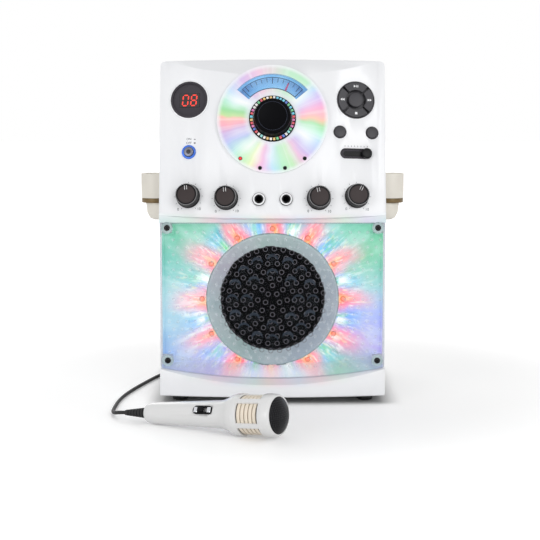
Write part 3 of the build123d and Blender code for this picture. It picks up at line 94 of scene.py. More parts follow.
# materials
class Wiring:
    # short hand for a material's nodes
    def __init__(self, name):
        self.material = bpy.data.materials.new(name)
        self.material.use_nodes = True
        self.tree = self.material.node_tree
        self.shader = self.tree.nodes["Principled BSDF"]
        self.coord = self.tree.nodes.new("ShaderNodeTexCoord").outputs["Object"]

    def plug(self, value, socket):
        if isinstance(value, bpy.types.NodeSocket):
            self.tree.links.new(value, socket)
        else:
            socket.default_value = value

    def calc(self, how, a, b=0.0, c=0.0, clamp=False):
        node = self.tree.nodes.new("ShaderNodeMath")
        node.operation = how
        node.use_clamp = clamp
        for value, socket in zip((a, b, c), node.inputs):
            self.plug(value, socket)
        return node.outputs[0]

    def mapped(self, place=(0, 0, 0), size=(1, 1, 1), turn=(0, 0, 0)):
        node = self.tree.nodes.new("ShaderNodeMapping")
        self.tree.links.new(self.coord, node.inputs["Vector"])
        node.inputs["Location"].default_value = place
        node.inputs["Scale"].default_value = size
        node.inputs["Rotation"].default_value = turn
        return node.outputs[0]

    def axes(self, vector=None):
        node = self.tree.nodes.new("ShaderNodeSeparateXYZ")
        self.tree.links.new(vector or self.coord, node.inputs[0])
        return node.outputs

    def noise(self, scale, detail=2.0, vector=None, rough=0.5):
        node = self.tree.nodes.new("ShaderNodeTexNoise")
        self.tree.links.new(vector or self.coord, node.inputs["Vector"])
        node.inputs["Scale"].default_value = scale
        node.inputs["Detail"].default_value = detail
        node.inputs["Roughness"].default_value = rough
        return node.outputs["Fac"]

    def cells(self, scale, feature="F1", vector=None, out="Distance"):
        node = self.tree.nodes.new("ShaderNodeTexVoronoi")
        node.feature = feature
        self.tree.links.new(vector or self.coord, node.inputs["Vector"])
        node.inputs["Scale"].default_value = scale
        return node.outputs[out]

    def ramp(self, value, *stops, mode="LINEAR"):
        node = self.tree.nodes.new("ShaderNodeValToRGB")
        node.color_ramp.interpolation = mode
        self.tree.links.new(value, node.inputs["Fac"])
        points = node.color_ramp.elements
        while len(points) > 1:
            points.remove(points[-1])
        points[0].position, points[0].color = stops[0][0], (*stops[0][1], 1)
        for place, colour in stops[1:]:
            points.new(place).color = (*colour, 1)
        return node.outputs["Color"]

    def mix(self, amount, a, b, how="MIX"):
        node = self.tree.nodes.new("ShaderNodeMix")
        node.data_type = "RGBA"
        node.blend_type = how
        self.plug(amount, node.inputs[0])
        for socket, value in ((node.inputs[6], a), (node.inputs[7], b)):
            self.plug(value if not isinstance(value, tuple) else (*value, 1), socket)
        return node.outputs[2]

    def bump(self, height, strength=0.2, distance=0.001):
        node = self.tree.nodes.new("ShaderNodeBump")
        node.inputs["Strength"].default_value = strength
        node.inputs["Distance"].default_value = distance
        self.tree.links.new(height, node.inputs["Height"])
        self.tree.links.new(node.outputs[0], self.shader.inputs["Normal"])

    def set(self, **values):
        names = {"color": "Base Color", "rough": "Roughness", "metal": "Metallic", "coat": "Coat Weight",
                 "coatRough": "Coat Roughness", "glow": "Emission Color", "glowPower": "Emission Strength",
                 "alpha": "Alpha", "ior": "IOR", "gloss": "Specular IOR Level"}
        for key, value in values.items():
            if isinstance(value, tuple):
                value = (*value, 1)
            self.plug(value, self.shader.inputs[names[key]])
        return self.material


def srgb(r, g, b):
    # a colour as read from the picture, 0 to 255, made linear
    return tuple((c / 255 / 12.92) if c < 10.3 else ((c / 255 + 0.055) / 1.055) ** 2.4 for c in (r, g, b))


def plastic(name, colour, rough=0.35, grain=900.0, bumpHeight=0.00004, vary=0.03, coat=0.0, metal=0.0,
            gloss=0.5):
    w = Wiring(name)
    patch = w.noise(9.0, 3.0)
    dark = tuple(c * (1 - vary) for c in colour)
    light = tuple(min(1.0, c * (1 + vary)) for c in colour)
    tone = w.ramp(patch, (0.3, dark), (0.7, light))
    fine = w.noise(grain, 2.0)
    spread = w.calc("MULTIPLY_ADD", w.noise(60.0, 3.0), 0.14, rough - 0.07)
    w.bump(fine, 0.35, bumpHeight)
    return w.set(color=tone, rough=spread, coat=coat, metal=metal, gloss=gloss)


def faded(w, value, low, high, top=1.0):
    # 0 at low, top at high, smooth between
    node = w.tree.nodes.new("ShaderNodeMapRange")
    node.interpolation_type = "SMOOTHSTEP"
    w.tree.links.new(value, node.inputs["Value"])
    node.inputs["From Min"].default_value = min(low, high)
    node.inputs["From Max"].default_value = max(low, high)
    node.inputs["To Min"].default_value = 0.0 if low < high else top
    node.inputs["To Max"].default_value = top if low < high else 0.0
    return node.outputs["Result"]


def bezelWhite():
    # gloss white, with a painted reflection of the show's colours just above and below the clear cover, and
    # painted shade on its upward-facing top
    w = Wiring("bezelWhite")
    x, y, z = w.axes()
    tone = w.ramp(w.noise(9.0, 3.0), (0.3, srgb(241, 242, 245)), (0.7, srgb(245, 246, 248)))
    showReflection = w.ramp(w.calc("MULTIPLY_ADD", x, 4.0, 0.5), (0.0, srgb(190, 225, 225)),
                 (0.12, srgb(185, 230, 205)),
                 (0.24, srgb(240, 190, 205)), (0.33, srgb(190, 210, 240)), (0.42, srgb(190, 235, 215)),
                 (0.48, srgb(250, 215, 190)), (0.54, srgb(250, 190, 215)), (0.62, srgb(195, 215, 245)),
                 (0.72, srgb(250, 200, 205)), (0.82, srgb(205, 235, 205)), (0.92, srgb(205, 200, 235)),
                 (1.0, srgb(190, 225, 230)))
    # painted reflection: the show's colours on the white ledge above the cover and on the chin below its arc
    above = w.calc("MULTIPLY", faded(w, z, 0.2165, 0.2040), faded(w, z, 0.2020, 0.2030))
    arc = w.calc("MULTIPLY_ADD", w.calc("MULTIPLY", x, x), -1 / 1.335, z)
    below = w.calc("MULTIPLY", faded(w, arc, 0.0160, 0.0272), faded(w, w.calc("ABSOLUTE", x), 0.118, 0.050))
    below = w.calc("MULTIPLY", below, faded(w, z, 0.060, 0.050))
    front = faded(w, y, -0.100, -0.104)
    # painted shade: surfaces facing upward near the top are made greyer
    upward = w.axes(w.tree.nodes.new("ShaderNodeTexCoord").outputs["Normal"])[2]
    topShade = w.calc("MULTIPLY", faded(w, upward, 0.42, 0.72), faded(w, z, 0.330, 0.345))
    tone = w.mix(w.calc("MULTIPLY", topShade, 0.45), tone, srgb(220, 221, 224))
    amount = w.calc("MULTIPLY", w.calc("MAXIMUM", above, w.calc("MULTIPLY", below, 0.7)), front)
    tone = w.mix(w.calc("MULTIPLY", amount, 0.5), tone, showReflection)
    w.bump(w.noise(700.0, 2.0), 0.35, 0.00001)
    spread = w.calc("MULTIPLY_ADD", w.noise(60.0, 3.0), 0.10, 0.27)
    return w.set(color=tone, rough=spread, coat=0.15)


paint = {
    "white": bezelWhite(),
    "cabinet": plastic("cabinetWhite", srgb(236, 237, 239), 0.46, 520, 0.0001, 0.015),
    "cream": plastic("holderCream", srgb(240, 235, 224), 0.40, 600, 0.00005, 0.02),
    "micWhite": plastic("micWhite", srgb(228, 228, 228), 0.24, 500, 0.00002, 0.01, 0.3),
    "ribCream": plastic("ribCream", srgb(238, 226, 208), 0.42, 600, 0.00005, 0.03),
    "darkGrey": plastic("knobDark", srgb(62, 61, 65), 0.36, 800, 0.00005, 0.06, 0, 0, 0.25),
    "black": plastic("blackPlastic", srgb(12, 12, 15), 0.34, 800, 0.00004, 0.08, 0, 0, 0.14),
    "grey": plastic("greyPlastic", srgb(62, 59, 65), 0.5, 700, 0.00004, 0.04, 0, 0, 0.2),
    # a painted highlight for the knobs' top edges
    "rimHighlight": plastic("rimHighlight", srgb(122, 121, 122), 0.35, 700, 0.00003, 0.04),
    "knobFace": plastic("knobFace", srgb(56, 48, 48), 0.5, 500, 0.00003, 0.1, 0, 0, 0.22),
    "powerFace": plastic("powerFace", srgb(122, 122, 132), 0.28, 400, 0.00002, 0.1, 0.2, 0.75),
    # painted shade for the gap between each mic holder's ring and cup
    "gapShadeBrown": plastic("holderGapShade", srgb(112, 92, 58), 0.4, 500, 0.00003, 0.1, 0, 0.3),
    "deepBlack": plastic("masterBlack", srgb(4, 4, 7), 0.42, 900, 0.00001, 0.1, 0, 0, 0.05),
    "rubber": plastic("blackRubber", srgb(20, 20, 21), 0.62, 1200, 0.00006, 0.1),
    "steel": plastic("platedSteel", srgb(176, 178, 182), 0.3, 400, 0.00002, 0.05, 0, 1.0),
    "silver": plastic("silverTrim", srgb(214, 216, 220), 0.18, 300, 0.00001, 0.03, 0, 1.0),
    "screw": plastic("blackScrew", srgb(20, 20, 22), 0.3, 500, 0.00002, 0.1, 0, 0.3, 0.3),
    "board": plastic("circuitBoard", srgb(28, 84, 52), 0.5, 300, 0.00006, 0.2),
    "cone": plastic("paperCone", srgb(4, 4, 5), 0.95, 900, 0.00005, 0.2, 0, 0, 0.05),
    "darkMark": plastic("printGrey", srgb(92, 94, 100), 0.5, 500, 0.00001, 0.02),
    "whiteMark": plastic("printWhite", srgb(240, 241, 243), 0.4, 500, 0.00001, 0.01),
}
print("plain finishes made")


# making and placing pieces
def meshPiece(name, bm, material, body="machine", place=None, smooth=32, replaced=(),
              merge=True):
    if place is not None:
        bmesh.ops.transform(bm, matrix=place, verts=bm.verts)
    if merge:
        bmesh.ops.remove_doubles(bm, verts=bm.verts, dist=1e-7)
        bmesh.ops.recalc_face_normals(bm, faces=bm.faces)
    mesh = bpy.data.meshes.new(name)
    bm.to_mesh(mesh)
    bm.free()
    piece = bpy.data.objects.new(name, mesh)
    scene.collection.objects.link(piece)
    for one in (material if isinstance(material, (list, tuple)) else [material]):
        mesh.materials.append(one)
    if smooth:
        mesh.shade_smooth()
        mesh.set_sharp_from_angle(angle=math.radians(smooth))
    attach(piece, body)
    if replaced:
        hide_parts(*replaced)
    return piece


def turned(profile, steps=64, closed=False):
    # a spun shape; profile is (radius, height) in mm from the bottom middle round to the top middle
    bm = bmesh.new()
    row = [bm.verts.new((r * mm, 0, h * mm)) for r, h in profile]
    pairs = list(zip(row, row[1:])) + ([(row[-1], row[0])] if closed else [])
    edges = [bm.edges.new(pair) for pair in pairs]
    bmesh.ops.spin(bm, geom=row + edges, cent=(0, 0, 0), axis=(0, 0, 1), angle=math.tau, steps=steps,
                   use_merge=True)
    bmesh.ops.remove_doubles(bm, verts=bm.verts, dist=1e-7)
    bmesh.ops.recalc_face_normals(bm, faces=bm.faces)
    return bm


def roundedTurn(profile, radius=0.5, steps=64, closed=False, segments=2, sharp=25):
    bm = turned(profile, steps, closed)
    bevelSharp(bm, radius, segments, sharp)
    return bm


def bevelSharp(bm, radius, segments=2, sharp=30):
    edges = [e for e in bm.edges if len(e.link_faces) == 2 and e.calc_face_angle(0) > math.radians(sharp)]
    if edges:
        bmesh.ops.bevel(bm, geom=edges, offset=radius * mm, affect="EDGES", segments=segments, profile=0.5,
                        material=-1, clamp_overlap=True)


def block(size, place=(0, 0, 0), radius=0.0, segments=2):
    bm = bmesh.new()
    bmesh.ops.create_cube(bm, size=1.0)
    bmesh.ops.scale(bm, vec=Vector(size) * mm, verts=bm.verts)
    if radius:
        bevelSharp(bm, radius, segments)
    bmesh.ops.translate(bm, vec=Vector(place) * mm, verts=bm.verts)
    return bm


def joined(*parts):
    whole = bmesh.new()
    for part in parts:
        scratch = bpy.data.meshes.new("scratch")
        part.to_mesh(scratch)
        part.free()
        whole.from_mesh(scratch)
        bpy.data.meshes.remove(scratch)
    return whole


def moved(bm, matrix):
    bmesh.ops.transform(bm, matrix=matrix, verts=bm.verts)
    return bm


def prism(corners, low, high, radius=0.0, segments=2):
    # a flat outline in mm, raised from low to high
    bm = bmesh.new()
    face = bm.faces.new([bm.verts.new((x * mm, y * mm, low * mm)) for x, y in corners])
    top = bmesh.ops.extrude_face_region(bm, geom=[face])
    raised = [v for v in top["geom"] if isinstance(v, bmesh.types.BMVert)]
    bmesh.ops.translate(bm, vec=(0, 0, (high - low) * mm), verts=raised)
    bmesh.ops.recalc_face_normals(bm, faces=bm.faces)
    if radius:
        bevelSharp(bm, radius, segments)
    return bm


def copyOf(node, name, material, radius=0.4, segments=2, sharp=28, body="machine", smooth=30):
    # the CAD solid again, welded, with its edges softened
    bm = bmesh.new()
    bm.from_mesh(nodes[node].data)
    bmesh.ops.remove_doubles(bm, verts=bm.verts, dist=2e-6)
    bmesh.ops.dissolve_limit(bm, angle_limit=math.radians(0.6), verts=bm.verts, edges=bm.edges)
    edges = [e for e in bm.edges
             if len(e.link_faces) == 2 and e.is_manifold and e.calc_face_angle(0) > math.radians(sharp)]
    if radius:
        bmesh.ops.bevel(bm, geom=edges, offset=radius * mm, affect="EDGES", segments=segments, profile=0.5,
                        material=-1, clamp_overlap=True)
    return meshPiece(name, bm, material, body, None, smooth, (node,), merge=False)


def give(material, *names):
    for name in names:
        piece = nodes[name]
        if not piece.material_slots:
            piece.data.materials.append(material)
        for one in piece.material_slots:
            one.material = material


# microphone cord: one spline from the relief to the coil and on to the plug
cordFacts = {"diameter": 0.004, "coilMiddle": (-80.0, 156.0), "inner": 14.5, "halves": 6, "layers": 4,
             "pitch": 5.6,
             "rise": 5.0, "floor": 2.05}


def cordRoute():
    tilt = math.atan2(10.5, 114.0)
    along = Vector((math.cos(math.radians(-31)) * math.cos(tilt),
                    math.sin(math.radians(-31)) * math.cos(tilt),
                    math.sin(tilt)))
    start = Vector((-131.0, -216.0, 11.2 * math.cos(tilt) - 8.0 * math.sin(tilt) + 0.1)) - along * 29.0
    low = cordFacts["floor"]
    outer = cordFacts["inner"] + cordFacts["halves"] * cordFacts["pitch"] / 2
    cx, cy = cordFacts["coilMiddle"]
    points = [
        start, start - along * 8.0,
        Vector((-169.1, -189.3, low + 3.0)), Vector((-173.0, -173.8, low + 0.9)),
        Vector((-173.8, -145.0, low)),
        Vector((-173.0, -108.0, low)), Vector((-168.0, -67.0, low)), Vector((-157.0, -18.0, low)),
        Vector((-143.5, 34.0, low)), Vector((-131.0, 72.0, low)), Vector((-119.0, 104.0, low)),
        Vector((cx - outer, 130.0, low)), Vector((cx - outer, 146.0, low)),
    ]
    reach, level, step = outer, 0, -1
    stops = [(outer, 0)]
    for layer in range(cordFacts["layers"]):
        for half in range(cordFacts["halves"]):
            reach += step * cordFacts["pitch"] / 2
            stops.append((reach, level))
        if layer < cordFacts["layers"] - 1:
            level, step = level + 1, -step
            stops.append((reach, level))
    for index, ((a, aLevel), (b, bLevel)) in enumerate(zip(stops[:-1], stops[1:])):
        side = -1 if index % 2 == 0 else 1
        radius = (a + b) / 2
        middle = cx + side * (a - b) / 2
        count = 3 if index == len(stops) - 2 else 6  # the last half turn stops on the far side
        for k in range(count):
            angle = math.pi * (k + 0.5) / 6
            x = middle + side * radius / math.cos(math.pi / 12) * math.cos(angle)
            y = cy - side * radius / math.cos(math.pi / 12) * math.sin(angle)
            share = (1 - math.cos(angle)) / 2
            points.append(Vector((x, y, low + (aLevel + (bLevel - aLevel) * share) * cordFacts["rise"])))
    top = low + level * cordFacts["rise"]
    last = stops[-2][0]
    far = last + cordFacts["pitch"] / 4
    tailX, tailY = cx - last + far, cy + far
    plugX, plugZ = cx + outer + 46.0, 5.65
    points += [Vector((tailX + 10, tailY, top)), Vector((tailX + 30, tailY, top - 4.0)),
               Vector((plugX - 24, tailY, plugZ + 2.6)), Vector((plugX - 9, tailY, plugZ)),
               Vector((plugX, tailY, plugZ))]
    return [p * mm for p in points]


route = cordRoute()
cordCurve = bpy.data.curves.new("micCord", "CURVE")
cordCurve.dimensions = "3D"
spline = cordCurve.splines.new("NURBS")
spline.points.add(len(route) - 1)
for point, spot in zip(spline.points, route):
    point.co = (*spot, 1)
spline.order_u = 3
spline.use_endpoint_u = True
spline.resolution_u = 6
cordCurve.bevel_depth = cordFacts["diameter"] / 2
cordCurve.bevel_resolution = 3
cordCurve.use_fill_caps = True
micCord = bpy.data.objects.new("micCord", cordCurve)
scene.collection.objects.link(micCord)
cordCurve.materials.append(paint["rubber"])
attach(micCord, "machine")
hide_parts("mic_cable", "cable_coil")
print("cord laid")

# floor, backdrop and light
floorMaterial = Wiring("paleFloor")
floorTree = floorMaterial.tree
paths = floorTree.nodes.new("ShaderNodeLightPath")
seen = floorMaterial.calc("MAXIMUM", paths.outputs["Is Camera Ray"], paths.outputs["Is Glossy Ray"])
floorX, floorY, floorZ = floorMaterial.axes()
# painted contact shadow: a dark patch on the floor under the body, which also dims the floor's glow there
underSide = faded(floorMaterial, floorMaterial.calc("ABSOLUTE", floorX), 0.150, 0.118)
underFront = faded(floorMaterial, floorY, -0.126, -0.100)
underBack = faded(floorMaterial, floorY, 0.135, 0.100)
paintedShadow = floorMaterial.calc("MULTIPLY", floorMaterial.calc("MULTIPLY", underSide, underFront), underBack)
paleTone = floorMaterial.ramp(floorMaterial.noise(3.0), (0.3, (0.86, 0.86, 0.86)),
                              (0.7, (0.89, 0.89, 0.89)))
floorMaterial.set(color=floorMaterial.mix(floorMaterial.calc("MULTIPLY", paintedShadow, 0.6), paleTone,
                                          (0.10, 0.10, 0.10)),
                  rough=0.55, glow=(1.0, 1.0, 1.0))
floorSplit = floorTree.nodes.new("ShaderNodeVectorMath")
floorSplit.operation = "LENGTH"
floorTree.links.new(floorMaterial.mapped((0, -0.02, 0)), floorSplit.inputs[0])
floorGlow = floorTree.nodes.new("ShaderNodeMapRange")
floorGlow.interpolation_type = "SMOOTHSTEP"
floorTree.links.new(floorSplit.outputs["Value"], floorGlow.inputs["Value"])
for key, value in (("From Min", 0.25), ("From Max", 0.9), ("To Min", 0.22), ("To Max", 1.0)):
    floorGlow.inputs[key].default_value = value
floorMaterial.plug(floorMaterial.calc("MULTIPLY", floorMaterial.calc("MULTIPLY", seen,
                                                                     floorGlow.outputs["Result"]),
                                      floorMaterial.calc("SUBTRACT", 1.0, paintedShadow)),
                   floorMaterial.shader.inputs["Emission Strength"])
bm = bmesh.new()
bmesh.ops.create_grid(bm, x_segments=4, y_segments=4, size=8.0)
bmesh.ops.translate(bm, vec=(0, 3, -0.0004), verts=bm.verts)
floorMesh = bpy.data.meshes.new("floor")
bm.to_mesh(floorMesh)
bm.free()
floorPiece = bpy.data.objects.new("floor", floorMesh)
floorMesh.materials.append(floorMaterial.material)
scene.collection.objects.link(floorPiece)

world = bpy.data.worlds.new("studio")
scene.world = world
world.use_nodes = True
worldTree = world.node_tree
background = worldTree.nodes["Background"]
worldPaths = worldTree.nodes.new("ShaderNodeLightPath")
seenToo = worldTree.nodes.new("ShaderNodeMath")
seenToo.operation = "MAXIMUM"
seenGloss = worldTree.nodes.new("ShaderNodeMath")
seenGloss.operation = "MAXIMUM"
worldTree.links.new(worldPaths.outputs["Is Camera Ray"], seenToo.inputs[0])
worldTree.links.new(worldPaths.outputs["Is Transmission Ray"], seenToo.inputs[1])
worldTree.links.new(seenToo.outputs[0], seenGloss.inputs[0])
worldTree.links.new(worldPaths.outputs["Is Glossy Ray"], seenGloss.inputs[1])
worldMix = worldTree.nodes.new("ShaderNodeMix")
worldMix.data_type = "FLOAT"
worldTree.links.new(seenGloss.outputs[0], worldMix.inputs[0])
worldMix.inputs[2].default_value = 0.53
worldMix.inputs[3].default_value = 1.0
worldTree.links.new(worldMix.outputs[0], background.inputs["Strength"])
background.inputs["Color"].default_value = (1, 1, 1, 1)
scene.view_settings.view_transform = "Standard"


def lamp(name, place, aim, power, size):
    data = bpy.data.lights.new(name, "AREA")
    data.energy, data.shape, data.size, data.size_y = power, "RECTANGLE", size[0], size[1]
    light = bpy.data.objects.new(name, data)
    scene.collection.objects.link(light)
    light.location = place
    light.rotation_euler = (Vector(aim) - Vector(place)).to_track_quat("-Z", "Y").to_euler()


lamp("keyLight", (0.75, -1.8, 0.9), (0, 0, 0.12), 10.2, (1.0, 0.8))
lamp("fillLight", (-1.1, -1.7, 0.5), (0, 0, 0.12), 6.5, (1.0, 0.8))
lamp("topLight", (0, 0.3, 1.9), (0, 0, 0.2), 2.2, (1.4, 1.4))
lamp("rearLight", (-0.6, 1.7, 1.2), (0, 0, 0.2), 6, (1.2, 1.0))
print("stage and lights set")

# finishes with their own pattern
def axesOf(w, middle, across, up):
    # two sockets: how far a point lies across and up from middle, in metres
    x, y, z = w.axes()
    found = []
    for axis in (across, up):
        total = w.calc("MULTIPLY_ADD", x, axis[0], -Vector(middle).dot(Vector(axis)))
        total = w.calc("MULTIPLY_ADD", y, axis[1], total)
        found.append(w.calc("MULTIPLY_ADD", z, axis[2], total))
    return found


def polar(w, middle, across, up):
    a, b = axesOf(w, middle, across, up)
    radius = w.calc("SQRT", w.calc("ADD", w.calc("MULTIPLY", a, a), w.calc("MULTIPLY", b, b)))
    return radius, w.calc("ARCTAN2", b, a)


def spun(w, angle, repeats, shift=0.0):
    # distance from the nearest of the repeats round the circle, 0 on it and 0.5 halfway between
    turns = w.calc("MULTIPLY_ADD", angle, repeats / math.tau, 100.5 + shift)
    return w.calc("ABSOLUTE", w.calc("SUBTRACT", w.calc("FRACT", turns), 0.5))


def lightShow():
    # the lamps' coloured light on the reflector is painted into its colour, with a weak emission as a
    # painted glow
    w = Wiring("lightShow")
    radius, angle = polar(w, soundMiddle, (1, 0, 0), (0, 0, 1))
    across, up = axesOf(w, soundMiddle, (1, 0, 0), (0, 0, 1))
    warp = w.noise(22.0, 3.0)
    bent = w.calc("MULTIPLY_ADD", warp, 0.30, w.calc("SUBTRACT", angle, 0.15))
    turns = w.calc("MULTIPLY_ADD", angle, 1 / math.tau, 0.5)
    base = w.ramp(turns, (0.0, srgb(136, 196, 205)), (0.07, srgb(140, 175, 215)),
                  (0.13, srgb(165, 150, 215)),
                  (0.20, srgb(150, 150, 225)), (0.25, srgb(170, 200, 235)), (0.31, srgb(130, 190, 190)),
                  (0.37, srgb(110, 190, 150)), (0.43, srgb(165, 150, 215)), (0.48, srgb(140, 160, 225)),
                  (0.52, srgb(125, 190, 190)), (0.57, srgb(105, 190, 150)), (0.63, srgb(120, 195, 175)),
                  (0.72, srgb(150, 200, 205)), (0.82, srgb(120, 190, 170)), (0.90, srgb(105, 185, 155)),
                  (1.0, srgb(136, 196, 205)))
    fan = w.tree.nodes.new("ShaderNodeCombineXYZ")
    w.plug(w.calc("MULTIPLY", w.calc("COSINE", angle), 3.0), fan.inputs[0])
    w.plug(w.calc("MULTIPLY", w.calc("SINE", angle), 3.0), fan.inputs[1])
    w.plug(w.calc("MULTIPLY", radius, 9.0), fan.inputs[2])
    streak = w.noise(4.2, 3.0, fan.outputs[0])
    blob = w.noise(46.0, 2.0)
    gap = spun(w, bent, coverFacts["lamps"])
    near = faded(w, radius, 0.106, 0.072)
    soft = w.calc("MULTIPLY_ADD", w.noise(28.0, 1.0, fan.outputs[0]), 0.5, 0.62)
    blue = w.calc("MULTIPLY", faded(w, gap, 0.12, 0.34), faded(w, radius, 0.112, 0.080))
    blue = w.calc("MULTIPLY", blue, faded(w, blob, 0.30, 0.62))
    show = w.mix(w.calc("MULTIPLY", blue, 0.8), base, srgb(112, 184, 250))
    green = w.calc("MULTIPLY", faded(w, gap, 0.26, 0.48), near)
    show = w.mix(w.calc("MULTIPLY", green, faded(w, streak, 0.38, 0.60)), show, srgb(104, 206, 140))
    tapered = w.calc("MULTIPLY", gap, w.calc("MULTIPLY_ADD", radius, 16.0, -0.25))
    tapered = w.calc("MULTIPLY_ADD", w.calc("SUBTRACT", w.noise(34.0, 2.0), 0.5), 0.07, tapered)
    pink = w.calc("MULTIPLY", faded(w, tapered, 0.50, 0.12), faded(w, radius, 0.130, 0.080))
    show = w.mix(w.calc("MULTIPLY", pink, soft), show, srgb(240, 162, 196))
    red = w.calc("MULTIPLY", faded(w, tapered, 0.32, 0.02), faded(w, radius, 0.118, 0.078))
    show = w.mix(w.calc("MULTIPLY", red, soft, clamp=True), show, srgb(252, 110, 114))
    orange = w.calc("MULTIPLY", faded(w, tapered, 0.15, 0.0), faded(w, radius, 0.098, 0.074))
    show = w.mix(w.calc("MULTIPLY", orange, 0.75), show, srgb(254, 200, 120))
    gold = w.calc("MULTIPLY", faded(w, w.noise(9.5, 1.0, fan.outputs[0]), 0.58, 0.72),
                  faded(w, radius, 0.126, 0.084))
    show = w.mix(w.calc("MULTIPLY", gold, 0.45), show, srgb(250, 240, 190))
    white = w.calc("MULTIPLY", faded(w, streak, 0.58, 0.74), faded(w, radius, 0.128, 0.076))
    show = w.mix(w.calc("MULTIPLY", white, 0.7), show, srgb(252, 252, 252))
    flash = w.calc("MULTIPLY", faded(w, gap, 0.34, 0.48), faded(w, radius, 0.094, 0.080))
    flash = w.calc("MULTIPLY", flash, faded(w, w.noise(30.0, 1.0), 0.48, 0.58))
    show = w.mix(w.calc("MULTIPLY", flash, 0.95), show, srgb(254, 254, 254))
    rays = w.calc("MULTIPLY", faded(w, w.noise(13.0, 2.0, fan.outputs[0]), 0.52, 0.74),
                  faded(w, radius, 0.136, 0.080))
    show = w.mix(w.calc("MULTIPLY", rays, 0.55), show, srgb(250, 252, 252))
    foot = w.calc("MULTIPLY", faded(w, up, -0.068, -0.086), faded(w, w.calc("ABSOLUTE", across), 0.085,
                                                                  0.02))
    show = w.mix(w.calc("MULTIPLY", foot, 0.6), show, srgb(252, 250, 250))
    pale = w.calc("MULTIPLY", faded(w, w.noise(16.0, 1.0), 0.40, 0.70), 0.22)
    show = w.mix(pale, show, srgb(225, 240, 245))
    ray = w.noise(2.6, 1.0, fan.outputs[0])
    show = w.mix(w.calc("MULTIPLY", faded(w, ray, 0.50, 0.66), 0.22), show, srgb(215, 238, 240))
    w.bump(streak, 0.4, 0.0008)
    return w.set(color=show, rough=0.4, glow=show, glowPower=0.3)


def discFoil():
    w = Wiring("discFoil")
    spot = panelSite(*panelPlaces["disc"]).translation
    radius, angle = polar(w, spot, (1, 0, 0), panelUp)
    turns = w.calc("MULTIPLY_ADD", angle, 1 / math.tau, 0.5)
    warp = w.calc("MULTIPLY_ADD", w.noise(30.0, 2.0), 0.06, w.calc("SUBTRACT", turns, 0.03))
    inner = w.ramp(warp, (0.0, srgb(250, 186, 172)), (0.02, srgb(245, 168, 188)),
                   (0.045, srgb(200, 172, 224)),
                   (0.08, srgb(182, 190, 240)), (0.12, srgb(168, 230, 216)), (0.15, srgb(176, 235, 176)),
                   (0.18, srgb(236, 245, 182)), (0.21, srgb(242, 182, 216)), (0.235, srgb(224, 192, 235)),
                   (0.255, srgb(172, 222, 242)), (0.285, srgb(176, 235, 194)), (0.32, srgb(182, 230, 172)),
                   (0.35, srgb(232, 182, 216)), (0.38, srgb(200, 184, 235)), (0.42, srgb(172, 210, 242)),
                   (0.45, srgb(176, 240, 216)), (0.485, srgb(156, 224, 162)), (0.503, srgb(252, 196, 172)),
                   (0.53, srgb(246, 168, 206)), (0.56, srgb(210, 178, 235)), (0.59, srgb(178, 210, 242)),
                   (0.63, srgb(166, 228, 182)), (0.70, srgb(190, 230, 200)), (0.80, srgb(236, 196, 218)),
                   (0.86, srgb(208, 182, 230)), (0.90, srgb(182, 216, 242)), (0.935, srgb(176, 234, 208)),
                   (0.965, srgb(150, 220, 156)), (0.99, srgb(190, 224, 152)), (1.0, srgb(250, 186, 172)))
    grey = lambda level: (level, level, level)
    flareHighlight = w.ramp(warp, (0.0, grey(0.15)), (0.03, grey(0.1)), (0.06, grey(0.45)), (0.09, grey(0.1)),
                   (0.14, grey(0.9)),
                   (0.17, grey(0.25)), (0.19, grey(0.7)), (0.22, grey(0.15)), (0.25, grey(0.65)),
                   (0.28, grey(0.2)),
                   (0.33, grey(0.35)), (0.37, grey(0.1)), (0.42, grey(0.95)), (0.46, grey(0.5)),
                   (0.50, grey(0.1)),
                   (0.55, grey(0.3)), (0.61, grey(0.85)), (0.68, grey(0.2)), (0.85, grey(0.2)),
                   (0.91, grey(0.95)),
                   (0.94, grey(0.4)), (0.97, grey(0.05)), (1.0, grey(0.15)))
    fan = w.tree.nodes.new("ShaderNodeCombineXYZ")
    w.plug(w.calc("MULTIPLY", w.calc("COSINE", angle), 4.0), fan.inputs[0])
    w.plug(w.calc("MULTIPLY", w.calc("SINE", angle), 4.0), fan.inputs[1])
    streak = w.noise(2.4, 2.0, fan.outputs[0])
    # painted highlights: white flares by angle, pale streaks, and whitening towards the centre and the rim
    reach = w.calc("MULTIPLY", flareHighlight, faded(w, radius, 0.066, 0.038), clamp=True)
    foil = w.mix(w.calc("MULTIPLY", reach, 0.95), inner, srgb(253, 253, 253))
    foil = w.mix(w.calc("MULTIPLY", faded(w, streak, 0.48, 0.72), 0.25), foil, srgb(250, 251, 252))
    foil = w.mix(w.calc("MULTIPLY", faded(w, radius, 0.034, 0.026), 0.75), foil, srgb(238, 244, 250))
    foil = w.mix(w.calc("MULTIPLY", faded(w, radius, 0.0560, 0.0612), 0.75), foil, srgb(238, 240, 243))
    w.bump(w.noise(300.0, 2.0), 0.1, 0.00002)
    # the weak emission is a painted glow
    return w.set(color=foil, rough=0.22, coat=0.4, glow=foil, glowPower=0.10)


